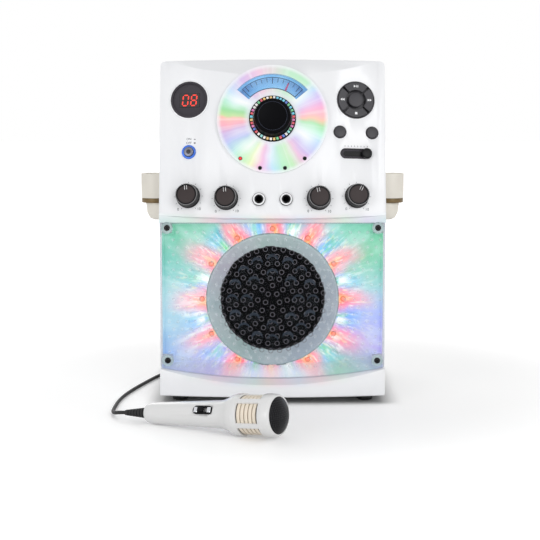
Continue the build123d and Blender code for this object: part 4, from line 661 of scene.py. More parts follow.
def clearCover():
    w = Wiring("clearCover")
    x, y, z = w.axes()
    wide = w.calc("ABSOLUTE", x)
    side = faded(w, wide, 0.1236, 0.1246)
    arc = w.calc("MULTIPLY_ADD", w.calc("MULTIPLY", x, x), -1 / 1.335, z)
    low = faded(w, arc, 0.0286, 0.0280)
    lip = w.calc("MULTIPLY", faded(w, arc, 0.0460, 0.0430), 0.18)
    top = faded(w, z, 0.2012, 0.2020)
    edge = w.calc("MAXIMUM", w.calc("MAXIMUM", side, w.calc("MULTIPLY", low, 0.8)),
                  w.calc("MULTIPLY", top, 0.7))
    tone = w.mix(edge, srgb(206, 214, 226), srgb(196, 204, 222))
    body = w.calc("MULTIPLY_ADD", w.noise(30.0, 2.0), 0.004, 0.003)
    alpha = w.calc("MAXIMUM", w.calc("MAXIMUM", w.calc("MULTIPLY", edge, 0.30), lip), body)
    w.bump(w.noise(40.0, 2.0), 0.05, 0.0001)
    return w.set(color=tone, rough=0.06, alpha=alpha, ior=1.49, gloss=0.12)


def clearPart(name, colour, alpha, rough=0.08, vary=0.3):
    w = Wiring(name)
    amount = w.calc("MULTIPLY_ADD", w.noise(50.0, 1.0), alpha * vary, alpha * (1 - vary / 2))
    tone = w.ramp(w.noise(40.0), (0.3, tuple(c * 0.9 for c in colour)), (0.7, colour))
    w.bump(w.noise(60.0, 1.0), 0.05, 0.00005)
    return w.set(color=tone, rough=rough, alpha=amount, ior=1.49, gloss=0.2)


def frostedRing():
    w = Wiring("frostedRing")
    radius, angle = polar(w, soundMiddle, (1, 0, 0), (0, 0, 1))
    turns = w.calc("MULTIPLY_ADD", angle, 1 / math.tau, 0.5)
    tint = w.ramp(turns, (0.0, srgb(166, 184, 190)), (0.15, srgb(152, 176, 176)),
                  (0.32, srgb(160, 172, 186)),
                  (0.5, srgb(168, 178, 190)), (0.66, srgb(176, 192, 196)), (0.78, srgb(172, 196, 192)),
                  (0.9, srgb(176, 172, 188)), (1.0, srgb(166, 184, 190)))
    patchy = w.mix(w.calc("MULTIPLY", faded(w, w.noise(34.0, 3.0), 0.40, 0.66), 0.45), tint,
                   srgb(196, 202, 208))
    dots = faded(w, w.cells(150.0), 0.28, 0.12)
    patchy = w.mix(w.calc("MULTIPLY", dots, 0.30), patchy, srgb(210, 218, 222))
    rim = faded(w, radius, 0.0722, 0.0735)
    ragged = w.calc("MULTIPLY_ADD", w.noise(180.0, 2.0), 0.004, w.calc("SUBTRACT", radius, 0.002))
    patchy = w.mix(w.calc("MULTIPLY", rim, 0.5), patchy, srgb(120, 150, 150))
    patchy = w.mix(faded(w, ragged, 0.0592, 0.0584), patchy, srgb(5, 5, 6))
    w.bump(dots, 0.5, 0.0005)
    # the weak emission is a painted glow of the show's light
    return w.set(color=patchy, rough=0.5, gloss=0.2, glow=patchy, glowPower=0.12)


def litPart(name, colour, power, rough=0.3, vary=0.12):
    w = Wiring(name)
    tone = w.ramp(w.noise(120.0, 2.0), (0.3, tuple(c * (1 - vary) for c in colour)), (0.7, colour))
    w.bump(w.noise(500.0), 0.1, 0.00002)
    return w.set(color=tone, rough=rough, glow=tone, glowPower=power)


def dialFace():
    w = Wiring("dialFace")
    spot = panelSite(*panelPlaces["disc"]).translation
    radius, angle = polar(w, spot, (1, 0, 0), panelUp)
    tone = w.ramp(w.calc("MULTIPLY", radius, 10.0), (0.34, srgb(120, 190, 235)), (0.40, srgb(62, 140, 205)),
                  (0.47, srgb(40, 105, 175)), (0.50, srgb(95, 170, 225)))
    shine = faded(w, w.calc("ABSOLUTE", w.calc("SUBTRACT", angle, math.pi / 2)), 0.9, 0.2)
    tone = w.mix(w.calc("MULTIPLY", shine, 0.35), tone, srgb(150, 210, 245))
    tone = w.mix(w.calc("MULTIPLY", faded(w, w.noise(60.0, 2.0), 0.4, 0.7), 0.15), tone,
                 srgb(190, 230, 250))
    return w.set(color=tone, rough=0.3, glow=tone, glowPower=0.35)


def beadColours():
    w = Wiring("jewelBeads")
    spot = panelSite(*panelPlaces["disc"]).translation
    radius, angle = polar(w, spot, (1, 0, 0), panelUp)
    turns = w.calc("MULTIPLY_ADD", angle, 1 / math.tau, 0.5)
    cell = w.tree.nodes.new("ShaderNodeTexWhiteNoise")
    cell.noise_dimensions = "1D"
    w.plug(w.calc("FLOOR", w.calc("MULTIPLY", turns, 40.0)), cell.inputs["W"])
    tone = w.ramp(cell.outputs["Value"], (0.0, srgb(238, 96, 104)), (0.16, srgb(120, 214, 236)),
                  (0.32, srgb(126, 214, 150)), (0.46, srgb(250, 246, 240)), (0.58, srgb(246, 206, 120)),
                  (0.70, srgb(96, 128, 214)), (0.82, srgb(232, 130, 190)), (0.92, srgb(160, 232, 225)),
                  mode="CONSTANT")
    tone = w.mix(w.calc("MULTIPLY", faded(w, w.noise(260.0), 0.4, 0.6), 0.2), tone, srgb(60, 70, 130))
    return w.set(color=tone, rough=0.12, coat=0.6, glow=tone, glowPower=0.25)


show = {
    "lights": lightShow(), "foil": discFoil(), "cover": clearCover(), "frost": frostedRing(),
    "dial": dialFace(),
    "beads": beadColours(),
    "dome": clearPart("domeShine", srgb(50, 60, 72), 0.9, 0.35, 0.2),
    "domeClear": clearPart("lensDome", srgb(120, 130, 140), 0.015, 0.1),
    "holeRim": clearPart("holeRim", srgb(118, 116, 124), 0.85, 0.3, 0.1),
    "bump": clearPart("coverBump", srgb(222, 230, 238), 0.14, 0.05),
    "lens": clearPart("meterLens", srgb(200, 225, 240), 0.10),
    "boss": clearPart("screwBoss", srgb(205, 226, 228), 0.45),
    "digit": litPart("digitRed", srgb(235, 60, 48), 0.9), "digitOff": litPart("digitOff", srgb(60, 12, 12),
                                                                              0.0),
    "redLamp": litPart("redLamp", srgb(222, 40, 38), 0.45), "blueLamp": litPart("blueLamp",
                                                                                srgb(62, 116, 222), 0.35,
                                                                                0.2, 0.45),
    "pinkLamp": litPart("showLamp", srgb(252, 150, 130), 0.3),
    "needle": litPart("needle", srgb(190, 20, 110), 0.2),
    "window": plastic("windowBlack", srgb(14, 12, 14), 0.12, 300, 0.00001, 0.1, 0.5),
}
print("patterned finishes made")

# carried solids: a finish on every one
give(paint["white"], "front_bezel", "top_deck", "disc_lid")
give(paint["cabinet"], "cabinet_shell", "rear_panel")
give(paint["rubber"], "feet", "mic_strain_relief", "mic_cable", "cable_coil")
give(paint["screw"], "case_screws")
give(paint["steel"], "lid_hinge_pins", "transformer", "disc_motors")
give(paint["deepBlack"], "speaker_frame")
give(paint["board"], "light_board", "control_board", "main_board")
give(paint["cone"], "speaker_cone")
give(paint["darkGrey"], "pad_bezel", "play_button", "rewind_button", "forward_button", "stop_button",
     "centre_button",
     "left_small_button", "right_small_button", "voice_control_knob", "balance_knob", "echo_knob",
     "mic_volume_knob")
give(paint["black"], "master_volume_knob", "mic_jacks", "light_slider", "rear_sockets", "disc_chassis",
     "turntable",
     "laser_sled", "mic_switch", "mic_switch_plate", "mic_plug", "mic_mesh")
give(paint["grey"], "display_bezel", "slider_bezel")
give(paint["silver"], "power_button")
give(paint["cream"], "mic_holder_left", "mic_holder_right")
give(paint["micWhite"], "mic_body", "mic_head")
give(paint["ribCream"], "mic_ribs")
give(show["lights"], "light_reflector")
give(show["foil"], "disc_face")
give(show["cover"], "clear_cover")
give(show["frost"], "speaker_ring")
give(show["dial"], "meter_dial")
give(show["lens"], "meter_lens")
give(show["needle"], "meter_needle")
give(paint["black"], "jewel_ring")
give(show["redLamp"], "status_lights")
give(show["window"], "display_module")
give(show["blueLamp"], "power_ring")
print("solids finished")

# softened copies of the shell pieces that show most
softFacts = {  # node: rounding in mm, angle that counts as an edge, body, slot
    "front_bezel": (0.5, 34, "machine", "shell_white"), "cabinet_shell": (0.5, 40, "machine",
                                                                          "cabinet_white"),
    "top_deck": (0.35, 34, "machine", "cabinet_white"), "disc_lid": (0.35, 34, "lid", "shell_white"),
    "mic_holder_left": (1.0, 34, "machine", "cream_plastic"),
    "mic_holder_right": (1.0, 34, "machine", "cream_plastic"),
    "mic_body": (0.3, 40, "machine", "mic_white"), "mic_head": (0.25, 40, "machine", "mic_white"),
    "display_bezel": (0.25, 34, "machine", "grey_plastic"), "pad_bezel": (0.2, 34, "machine", "dark_grey"),
    "slider_bezel": (0.2, 34, "machine", "grey_plastic"), "light_slider": (0.35, 34, "slider",
                                                                           "black_plastic"),
    "mic_switch_plate": (0.2, 34, "machine", "silver"), "mic_switch": (0.3, 34, "mic_switch",
                                                                       "black_plastic"),
    "mic_ribs": (0.3, 34, "machine", "cream_plastic"), "feet": (0.6, 34, "machine", "rubber_black"),
}
for node, (radius, sharp, body, slot) in softFacts.items():
    copyOf(node, "soft_" + node, nodes[node].material_slots[0].material, radius, 2, sharp, body, 30)
print("shell softened")

# knobs: fluted skirt, dished top, double pointer line
knobFacts = {"radius": 13.4, "skirtLow": 1.25, "skirtTop": 3.8, "top": 13.9, "ribs": 36, "flute": 0.35}
knobs = [("voice_control_knob", -93.0, 29.7, 5.0), ("balance_knob", -51.0, 26.6, 4.0),
         ("echo_knob", 51.0, 26.6, 13.0), ("mic_volume_knob", 93.0, 29.7, -24.0)]


def flutedBody(bottom, top, low, high, ribs, depth):
    # a tapered side whose outline waves in and out, capped above with a soft edge
    bm = bmesh.new()
    rings = []
    count = ribs * 4
    rows = [(bottom, low, 1.0), (bottom - 0.1, low + 0.5, 1.0), (top, high - 1.0, 1.0),
            (top - 0.25, high - 0.35, 0.6),
            (top - 0.9, high, 0.15), (top - 2.2, high, 0.0), (top - 2.7, high - 0.5, 0.0),
            (0.4, high - 0.8, 0.0)]
    for radius, height, wave in rows:
        ring = []
        for k in range(count):
            angle = math.tau * k / count
            r = radius - depth * wave * (0.5 - 0.5 * math.cos(angle * ribs))
            ring.append(bm.verts.new((r * mm * math.cos(angle), r * mm * math.sin(angle), height * mm)))
        rings.append(ring)
    for a, b in zip(rings, rings[1:]):
        for k in range(count):
            bm.faces.new((a[k], a[(k + 1) % count], b[(k + 1) % count], b[k]))
    bm.faces.new(list(reversed(rings[0])))
    bm.faces.new(rings[-1])
    return bm


for node, u, v, turn in knobs:
    site = panelSite(u, v, turn)
    wide, low, high = knobFacts["radius"], knobFacts["skirtLow"], knobFacts["skirtTop"]
    skirt = roundedTurn([(0, low), (wide, low), (wide, high - 0.5), (wide - 0.5, high), (0, high)], 0.25,
                        72)
    meshPiece(node + "Skirt", skirt, paint["black"], node, site, 30, ())
    grip = flutedBody(12.9, 12.3, 3.7, knobFacts["top"], knobFacts["ribs"], knobFacts["flute"])
    meshPiece(node + "Grip", grip, paint["black"], node, site, 40, (node,))
    # a light grey ring round the top edge: a painted highlight
    rim = roundedTurn([(11.3, 13.2), (12.0, 13.2), (12.0, 13.95), (11.3, 13.95)], 0.2, 72, True)
    meshPiece(node + "Rim", rim, paint["rimHighlight"], node, site, 30, ())
    face = roundedTurn([(0, 12.6), (11.1, 12.6), (11.1, 13.3), (10.4, 13.5), (0, 13.2)], 0.15, 72)
    meshPiece(node + "Face", face, paint["knobFace"], node, site, 30, ())
    line = joined(block((0.5, 5.4, 0.5), (-1.2, 8.0, 13.55), 0.1),
                  block((0.5, 5.4, 0.5), (1.2, 8.0, 13.55), 0.1))
    meshPiece(node + "Pointer", line, paint["whiteMark"], node, site, 30, ())
print("knobs made")

# master volume knob
site = panelSite(*panelPlaces["disc"])
grip = flutedBody(21.5, 20.4, 3.05, 15.5, 60, 0.35)
meshPiece("masterGrip", grip, paint["deepBlack"], "master_knob", site, 40, ("master_volume_knob",))
crown = roundedTurn([(0, 14.2), (20.0, 14.2), (20.0, 16.6), (18.6, 18.0), (16.7, 18.0), (16.2, 17.2),
                     (0, 17.0)], 0.35, 96)
meshPiece("masterCrown", crown, paint["deepBlack"], "master_knob", site, 30, ())
# a thin blue-grey ring on the crown: a painted highlight
band = roundedTurn([(15.9, 17.0), (16.4, 17.0), (16.4, 17.45), (15.9, 17.45)], 0.12, 96, True)
meshPiece("masterHighlightBand", band, plastic("bandHighlightBlue", srgb(34, 40, 58), 0.3, 400, 0.00001, 0.05, 0, 0.4),
          "master_knob",
          site, 30, ())

# jewel ring: 40 cut beads on the carrier, with a dark rim round them
beads = []
for k in range(40):
    bead = block((3.0, 2.5, 1.3), (23.4, 0, 0), 0.3, 1)
    beads.append(moved(bead, Matrix.Rotation(math.tau * (k + 0.5) / 40, 4,
                                             "Z") @ Matrix.Translation((0, 0, 5.4 * mm))))
meshPiece("jewelBeads", joined(*beads), show["beads"], "machine", site, 0, ())
darkRim = roundedTurn([(24.9, 1.7), (26.0, 1.7), (26.0, 4.6), (25.4, 5.4), (24.9, 5.4)], 0.2, 96, True)
meshPiece("jewelRim", darkRim, paint["deepBlack"], "machine", site, 30, ())

# meter: frame, ticks and pointer
def arcBand(inner, outer, low, high, start, end, steps=48, radius=0.1):
    outline = [(outer * math.cos(math.radians(start + (end - start) * k / steps)),
                outer * math.sin(math.radians(start + (end - start) * k / steps))) for k in range(steps + 1)]
    outline += [(inner * math.cos(math.radians(end + (start - end) * k / steps)),
                 inner * math.sin(math.radians(end + (start - end) * k / steps))) for k in range(steps + 1)]
    return prism(outline, low, high, radius, 1)


meterPieces = [arcBand(34.4, 35.2, 2.42, 2.75, 45, 135), arcBand(46.9, 47.5, 2.42, 2.75, 45, 135)]
for angle in (45, 135):
    edge = block((12.6, 0.7, 0.33), (41.0, 0, 2.585), 0.08, 1)
    meterPieces.append(moved(edge, Matrix.Rotation(math.radians(angle), 4, "Z")))
for k in range(11):
    length = 6.4 if k % 5 == 0 else 4.6
    tick = block((length, 0.75 if k % 5 == 0 else 0.5, 0.3), (46.6 - length / 2, 0, 2.57), 0.06, 1)
    meterPieces.append(moved(tick, Matrix.Rotation(math.radians(90 + (k - 5) * 8.0), 4, "Z")))
meshPiece("meterScale", joined(*meterPieces), plastic("meterInk", srgb(28, 44, 74), 0.4, 300, 0.00001,
                                                      0.05), "machine",
          site, 30, ())

pointer = joined(prism([(33.2, -1.25), (45.4, -0.75), (45.4, 0.75), (33.2, 1.25)], -1.35, -0.7, 0.1, 1),
                 block((9.0, 3.0, 0.8), (29.5, 0, -1.8), 0.2, 1))
meshPiece("meterPointer", moved(pointer, Matrix.Rotation(math.radians(90 - 23.5), 4, "Z")), show["needle"],
          "needle",
          site, 30, ("meter_needle",))

# indicator lamps: one lit, three dark
for angle, side, lit in ((51.5, -1, True), (76.0, -1, False), (76.0, 1, False), (51.5, 1, False)):
    x = side * 57.2 * math.cos(math.radians(angle))
    y = -57.2 * math.sin(math.radians(angle))
    cap = roundedTurn([(0, 2.6), (1.75, 2.6), (1.75, 3.0), (1.2, 3.5), (0, 3.7)], 0.12, 32)
    meshPiece("statusCap", moved(cap, Matrix.Translation((x * mm, y * mm, 0))),
              show["redLamp"] if lit else paint["black"],
              "machine", site, 40, ())
    rim = roundedTurn([(1.75, 2.5), (2.25, 2.5), (2.25, 3.0), (1.75, 3.0)], 0.1, 32, True)
    meshPiece("statusRim", moved(rim, Matrix.Translation((x * mm, y * mm, 0))), paint["darkGrey"],
              "machine", site, 40,
              ())
print("disc face finished")

# display: slanted seven-segment digits behind the window
segments = {"a": (0, 5.9, 0), "b": (2.95, 2.95, 1), "c": (2.95, -2.95, 1), "d": (0, -5.9, 0),
            "e": (-2.95, -2.95, 1),
            "f": (-2.95, 2.95, 1), "g": (0, 0, 0)}
shown = {"0": "abcdef", "8": "abcdefg"}
site = panelSite(*panelPlaces["display"])
lit, unlit = [], []
slant = Matrix(((1, 0.13, 0, 0), (0, 1, 0, 0), (0, 0, 1, 0), (0, 0, 0, 1)))
for digit, shift in (("0", -4.7), ("8", 4.7)):
    for key, (x, y, upright) in segments.items():
        long, wide = 4.6, 1.3
        outline = [(-long / 2, 0), (-long / 2 + wide / 2, wide / 2), (long / 2 - wide / 2, wide / 2),
                   (long / 2, 0),
                   (long / 2 - wide / 2, -wide / 2), (-long / 2 + wide / 2, -wide / 2)]
        bar = prism(outline, -2.6, -2.4)
        if upright:
            bmesh.ops.rotate(bar, cent=(0, 0, 0), matrix=Matrix.Rotation(math.pi / 2, 3, "Z"),
                             verts=bar.verts)
        bmesh.ops.translate(bar, vec=(x * mm, y * mm, 0), verts=bar.verts)
        moved(bar, Matrix.Translation((shift * mm, 0, 0)) @ slant)
        (lit if key in shown[digit] else unlit).append(bar)
pane = block((22.7, 15.6, 0.5), (0, 0, -2.85), 0.1, 1)
meshPiece("displayPane", pane, show["window"], "machine", site, 30, ())
meshPiece("litDigits", joined(*lit), show["digit"], "machine", site, 0, ())
meshPiece("restDigits", joined(*unlit), show["digitOff"], "machine", site, 0, ())
halo = roundedTurn([(20.9, 0.05), (22.4, 0.05), (22.1, 0.5), (21.3, 0.75), (20.9, 0.75)], 0.15, 96, True)
meshPiece("displayHalo", halo, paint["white"], "machine", site, 30, ())

# power: lit ring and pressed cap
site = panelSite(*panelPlaces["power"])
ring = roundedTurn([(5.65, 0.1), (7.9, 0.1), (7.9, 0.7), (7.2, 1.15), (5.65, 1.15)], 0.2, 64, True)
meshPiece("powerGlow", ring, show["blueLamp"], "machine", site, 40, ("power_ring",))
cap = roundedTurn([(0, -2.0), (5.2, -2.0), (5.2, 1.9), (4.6, 2.45), (0, 2.3)], 0.25, 64)
meshPiece("powerCap", cap, paint["powerFace"], "power_button", site, 40, ("power_button",))
iris = roundedTurn([(0, 2.2), (2.6, 2.2), (2.4, 2.6), (0, 2.8)], 0.15, 48)
meshPiece("powerIris", iris, paint["darkGrey"], "power_button", site, 40, ())

# play pad symbols
site = panelSite(*panelPlaces["pad"])
def triangle(x, y, size, way):
    return prism([(x - way * size * 0.5, y + size * 0.62), (x - way * size * 0.5, y - size * 0.62),
                  (x + way * size * 0.55, y)][::way],
                 1.62, 1.85, 0.05, 1)


def strip(x, y, w, h):
    return prism([(x - w / 2, y - h / 2), (x + w / 2, y - h / 2), (x + w / 2, y + h / 2),
                  (x - w / 2, y + h / 2)], 1.62, 1.85, 0.05, 1)


symbols = {
    "play_button": [triangle(-1.3, 15.4, 2.3, 1), strip(0.9, 15.4, 0.7, 2.6), strip(2.2, 15.4, 0.7, 2.6)],
    "rewind_button": [triangle(-16.6, 0, 2.3, -1), triangle(-14.2, 0, 2.3, -1)],
    "forward_button": [triangle(14.2, 0, 2.3, 1), triangle(16.6, 0, 2.3, 1)],
    "stop_button": [strip(0, -15.4, 2.7, 2.7)],
}
for node, shapes in symbols.items():
    meshPiece(node + "Mark", joined(*shapes), paint["whiteMark"], node, site, 30, ())
cut = {"play_button": 90, "rewind_button": 180, "forward_button": 0, "stop_button": 270}
for node, middle in cut.items():
    sector = arcBand(11.2, 19.9, -1.2, 1.6, middle - 41, middle + 41, 36, 0.35)
    meshPiece("soft_" + node, sector, paint["darkGrey"], node, site, 40, (node,))
cap = roundedTurn([(0, -1.0), (8.3, -1.0), (8.3, 1.3), (7.6, 1.95), (0, 1.75)], 0.25, 64)
meshPiece("padCentre", cap, paint["darkGrey"], "centre_button", site, 40, ("centre_button",))
for node, place in zip(("left_small_button", "right_small_button"), panelPlaces["smallButtons"]):
    site = panelSite(*place)
    cap = roundedTurn([(0, -1.0), (6.6, -1.0), (6.6, 1.2), (5.8, 1.95), (0, 2.1)], 0.3, 56)
    meshPiece("soft_" + node, cap, paint["darkGrey"], node, site, 40, (node,))
    well = roundedTurn([(6.75, 0.02), (7.3, 0.02), (7.3, 0.35), (6.75, 0.35)], 0.1, 56, True)
    meshPiece("buttonRim", well, paint["black"], "machine", site, 40, ())

# printed marks: scale ends at each knob, plain numbers, on and off
def label(name, words, size, site, shift, material=None, body="machine", turn=0.0):
    data = bpy.data.curves.new(name, "FONT")
    data.body, data.size, data.align_x, data.align_y = words, size * mm, "CENTER", "CENTER"
    data.extrude = 0.04 * mm
    data.resolution_u = 3
    holder = bpy.data.objects.new(name, data)
    scene.collection.objects.link(holder)
    bpy.context.view_layer.update()
    flat = bpy.data.meshes.new_from_object(holder.evaluated_get(bpy.context.evaluated_depsgraph_get()))
    bpy.data.objects.remove(holder)
    bm = bmesh.new()
    bm.from_mesh(flat)
    bpy.data.meshes.remove(flat)
    place = site @ Matrix.Translation((shift[0] * mm, shift[1] * mm, 0.06 * mm)) @ Matrix.Rotation(turn, 4,
                                                                                                   "Z")
    return meshPiece(name, bm, material or paint["darkMark"], body, place, 0, (), merge=False)


for node, u, v, turn in knobs:
    site = panelSite(u, v)
    marks = []
    for k in range(11):
        angle = math.radians(90 + 150 - 30 * k)
        tick = block((1.4, 0.35, 0.12), (15.6, 0, 0.08))
        marks.append(moved(tick, Matrix.Rotation(angle, 4, "Z")))
    meshPiece(node + "Scale", joined(*marks), paint["darkMark"], "machine", site, 0, ())
    label(node + "Least", "0", 4.2, site, (-11.6, -14.4))
    label(node + "Most", "10", 4.2, site, (11.8, -14.4))
site = panelSite(*panelPlaces["power"])
label("onWord", "ON", 3.6, site, (0, 14.6))
label("offWord", "OFF", 3.6, site, (0, 10.2))
marks = joined(block((2.0, 0.7, 0.12), (6.6, 14.2, 0.08)), block((2.0, 1.3, 0.12), (6.6, 10.0, 0.08)))
meshPiece("powerMarks", marks, paint["darkMark"], "machine", site, 0, ())
site = panelSite(*panelPlaces["slider"])
groove = block((28.0, 5.3, 0.4), (0, 0, -1.7), 0.1, 1)
meshPiece("sliderGroove", groove, paint["black"], "machine", site, 30, ())
dots = []
for k in range(8):
    tick = block((0.45, 1.6, 0.12), (-12.6 + 3.6 * k, 8.2, 0.08))
    dots.append(tick)
meshPiece("sliderScale", joined(*dots), paint["darkMark"], "machine", site, 0, ())
for place in panelPlaces["jacks"]:
    site = panelSite(*place)
    nut = roundedTurn([(6.3, 0.05), (7.2, 0.05), (7.2, 1.0), (6.9, 1.4), (6.3, 1.4)], 0.15, 64, True)
    meshPiece("jackNut", nut, paint["black"], "machine", site, 40, ())
    ring = roundedTurn([(4.85, 2.0), (6.75, 2.0), (6.75, 2.5), (6.3, 2.95), (4.85, 2.95)], 0.15, 64, True)
    meshPiece("jackRing", ring, paint["whiteMark"], "machine", site, 40, ())
    collar = roundedTurn([(3.3, 1.2), (5.0, 1.2), (5.0, 3.0), (4.6, 3.3), (3.7, 3.3), (3.3, 2.9)], 0.15,
                         64, True)
    meshPiece("jackCollar", collar, paint["black"], "machine", site, 40, ())
print("panel finished")

# painted shade: dark gold-brown bands in the gap between each holder's ring and its cup
for side in (-1, 1):
    band = roundedTurn([(14.2, 0.3), (15.6, 0.3), (15.6, 5.8), (14.2, 5.8)], 0.15, 64, True)
    meshPiece("holderGapShade", band, paint["gapShadeBrown"], "machine",
              axisSite((side * 142.2, 40.0, 215.6), (0, 0, 1), (1, 0, 0)),
              30, ())

# microphone: woven dome and the two pads of the switch plate
micFacts = {"yaw": -31.0, "rise": 10.5, "length": 114.0, "base": Vector((-131.0, -216.0, 10.52))}
micTilt = math.atan2(micFacts["rise"], micFacts["length"])
micAlong = Vector((math.cos(math.radians(micFacts["yaw"])) * math.cos(micTilt),
                   math.sin(math.radians(micFacts["yaw"])) * math.cos(micTilt), math.sin(micTilt)))
micSide = Vector((0, 0, 1)).cross(micAlong).normalized()


def micPlace(s):
    return axisSite(micFacts["base"] + micAlong * s, micAlong, micSide)


def wovenDome(reach, rise, pitch, wire):
    # crossing wires that pass over and under each other on a shallow dome
    bm = bmesh.new()
    count = int(reach // pitch)
    height = lambda a, b: rise * (1 - (a * a + b * b) / (reach * reach))
    for way in (0, 1):
        for i in range(-count, count + 1):
            a = i * pitch
            half = math.sqrt(max(reach * reach - a * a, 0.01))
            steps = max(4, int(2 * half / (pitch * 0.5)))
            previous = None
            for k in range(steps + 1):
                b = -half + 2 * half * k / steps
                phase = math.pi * (b / pitch + i + way)
                lift = height(a, b) + wire * 0.55 * math.cos(phase)
                ring = []
                for c in range(4):
                    turn = math.tau * (c + 0.5) / 4
                    across, up = a + wire * 0.7 * math.cos(turn), lift + wire * 0.7 * math.sin(turn)
                    x, y = (across, b) if way == 0 else (b, across)
                    ring.append(bm.verts.new((x * mm, y * mm, up * mm)))
                if previous:
                    for c in range(4):
                        bm.faces.new((previous[c], previous[(c + 1) % 4], ring[(c + 1) % 4], ring[c]))
                else:
                    bm.faces.new(ring)
                previous = ring
            bm.faces.new(previous)
    return bm


mesh = wovenDome(18.4, 6.7, 2.1, 0.5)
meshPiece("wovenDome", mesh, plastic("wovenWire", srgb(48, 48, 52), 0.36, 400, 0.00002, 0.1, 0, 0.6),
          "machine",
          micPlace(161.2), 50, ())
micFront = Vector((math.sin(math.radians(micFacts["yaw"])), -math.cos(math.radians(micFacts["yaw"])), 0))
micTop = micFront.cross(micAlong).normalized()
plateOut = micFront * math.cos(math.radians(28)) + micTop * math.sin(math.radians(28))
plateSite = axisSite(micFacts["base"] + micAlong * 78.0 + plateOut * 14.2, plateOut, micAlong)
for shift in (-8.1, 8.1):
    pad = block((4.4, 5.6, 0.6), (shift, 0, 0.5), 0.25)
    meshPiece("switchPad", pad, paint["silver"], "machine", plateSite, 30, ())
print("microphone finished")

# lower front: ringed sound holes, lens domes, small bumps, bosses and screws
facing = Matrix(((1, 0, 0, 0), (0, 0, -1, 0), (0, 1, 0, 0), (0, 0, 0, 1)))  # local z comes out of the front


def frontPlace(x, z, y=coverFacts["face"]):
    return Matrix.Translation((x * mm, y * mm, z * mm)) @ facing


def ringShape(inner, outer, low, high, steps):
    bm = bmesh.new()
    rows = [(inner, low), (outer, low), ((outer + inner) / 2 + 0.15, high), (inner, high * 0.8)]
    rings = [[bm.verts.new((r * mm * math.cos(math.tau * k / steps),
                            r * mm * math.sin(math.tau * k / steps), h * mm))
              for k in range(steps)] for r, h in rows]
    for a, b in zip(rings, rings[1:] + rings[:1]):
        for k in range(steps):
            bm.faces.new((a[k], a[(k + 1) % steps], b[(k + 1) % steps], b[k]))
    return bm


holes = []
for ring, (count, start) in enumerate(zip(coverFacts["counts"], coverFacts["starts"])):
    radius = coverFacts["holePitch"] * (ring + 1)
    for k in range(count):
        angle = math.radians(start + 360 * k / count)
        holes.append((radius * math.cos(angle), radius * math.sin(angle)))
rims = [moved(ringShape(2.2, 2.8, -0.02, 0.55, 16), frontPlace(x, coverFacts["middle"] + z)) for x,
        z in holes]
meshPiece("holeRims", joined(*rims), show["holeRim"], "machine", None, 50, ())


def domeShape(radius, rise, steps, rows):
    bm = bmesh.new()
    rings = []
    for row in range(rows):
        turn = math.pi / 2 * row / rows
        rings.append([bm.verts.new((radius * mm * math.cos(turn) * math.cos(math.tau * k / steps),
                                    radius * mm * math.cos(turn) * math.sin(math.tau * k / steps),
                                    rise * mm * math.sin(turn))) for k in range(steps)])
    top = bm.verts.new((0, 0, rise * mm))
    for a, b in zip(rings, rings[1:]):
        for k in range(steps):
            bm.faces.new((a[k], a[(k + 1) % steps], b[(k + 1) % steps], b[k]))
    for k in range(steps):
        bm.faces.new((rings[-1][k], rings[-1][(k + 1) % steps], top))
    bm.faces.new(list(reversed(rings[0])))
    return bm


def crescent(radius, drop, height):
    # the lit upper part of a dome: between its own edge and the same edge moved down
    wide = math.sqrt(max(radius**2 - (drop / 2) ** 2, 0.1))
    start = math.atan2(drop / 2, wide)
    top = [(radius * math.cos(start + (math.pi - 2 * start) * k / 20),
            radius * math.sin(start + (math.pi - 2 * start) * k / 20))
           for k in range(21)]
    low = [(x * 0.96, y - drop + (0.10 * radius)) for x, y in reversed(top)]
    bm = bmesh.new()
    rows = [[bm.verts.new((x * mm, y * mm, h * mm)) for (x, y),
             h in zip(row, [height * (1 - (x * x + y * y) / radius**2)
             for x, y in row])] for row in (top, list(reversed(low)))]
    middle = [bm.verts.new(((a.co.x + b.co.x) / 2, (a.co.y + b.co.y) / 2,
                            max(a.co.z, b.co.z) + 0.25 * mm)) for a, b in zip(*rows)]
    for a, b in ((rows[0], middle), (middle, rows[1])):
        for k in range(len(a) - 1):
            bm.faces.new((a[k], a[k + 1], b[k + 1], b[k]))
    return bm


domes, crescents = [], []
for count, reach, start in ((8, 29.0, 90), (16, 45.0, 90)):
    for k in range(count):
        angle = math.radians(start + 360 * k / count)
        place = frontPlace(reach * math.cos(angle), coverFacts["middle"] + reach * math.sin(angle),
                           coverFacts["face"] + 0.05)
        domes.append(moved(domeShape(7.4, 2.6, 28, 5), place))
        lean = 8 * math.sin(5.0 * k + count)
        crescents.append(moved(crescent(6.6, 3.6 + 0.7 * math.sin(3.0 * k), 2.62), place @ Matrix.Rotation(
            math.radians(lean), 4, "Z")))
meshPiece("lensDomes", joined(*domes), show["domeClear"], "machine", None, 60, ())
meshPiece("domeShine", joined(*crescents), show["dome"], "machine", None, 60, ())

bumps = []
pitch = 9.6
for row in range(19):
    for column in range(27):
        x = (column - 13) * pitch + (pitch / 2 if row % 2 else 0)
        z = 42 + row * pitch * 0.87
        away = math.hypot(x, z - coverFacts["middle"])
        corner = min(math.hypot(x - cornerX, z - cornerZ) for cornerX, cornerZ in coverCorners)
        if abs(x) < 120 and z < 199 and away > 60 and corner > 9:
            bumps.append(moved(domeShape(2.0, 0.9, 10, 2), frontPlace(x, z, coverFacts["face"] + 0.03)))
meshPiece("coverBumps", joined(*bumps), show["bump"], "machine", None, 60, ())

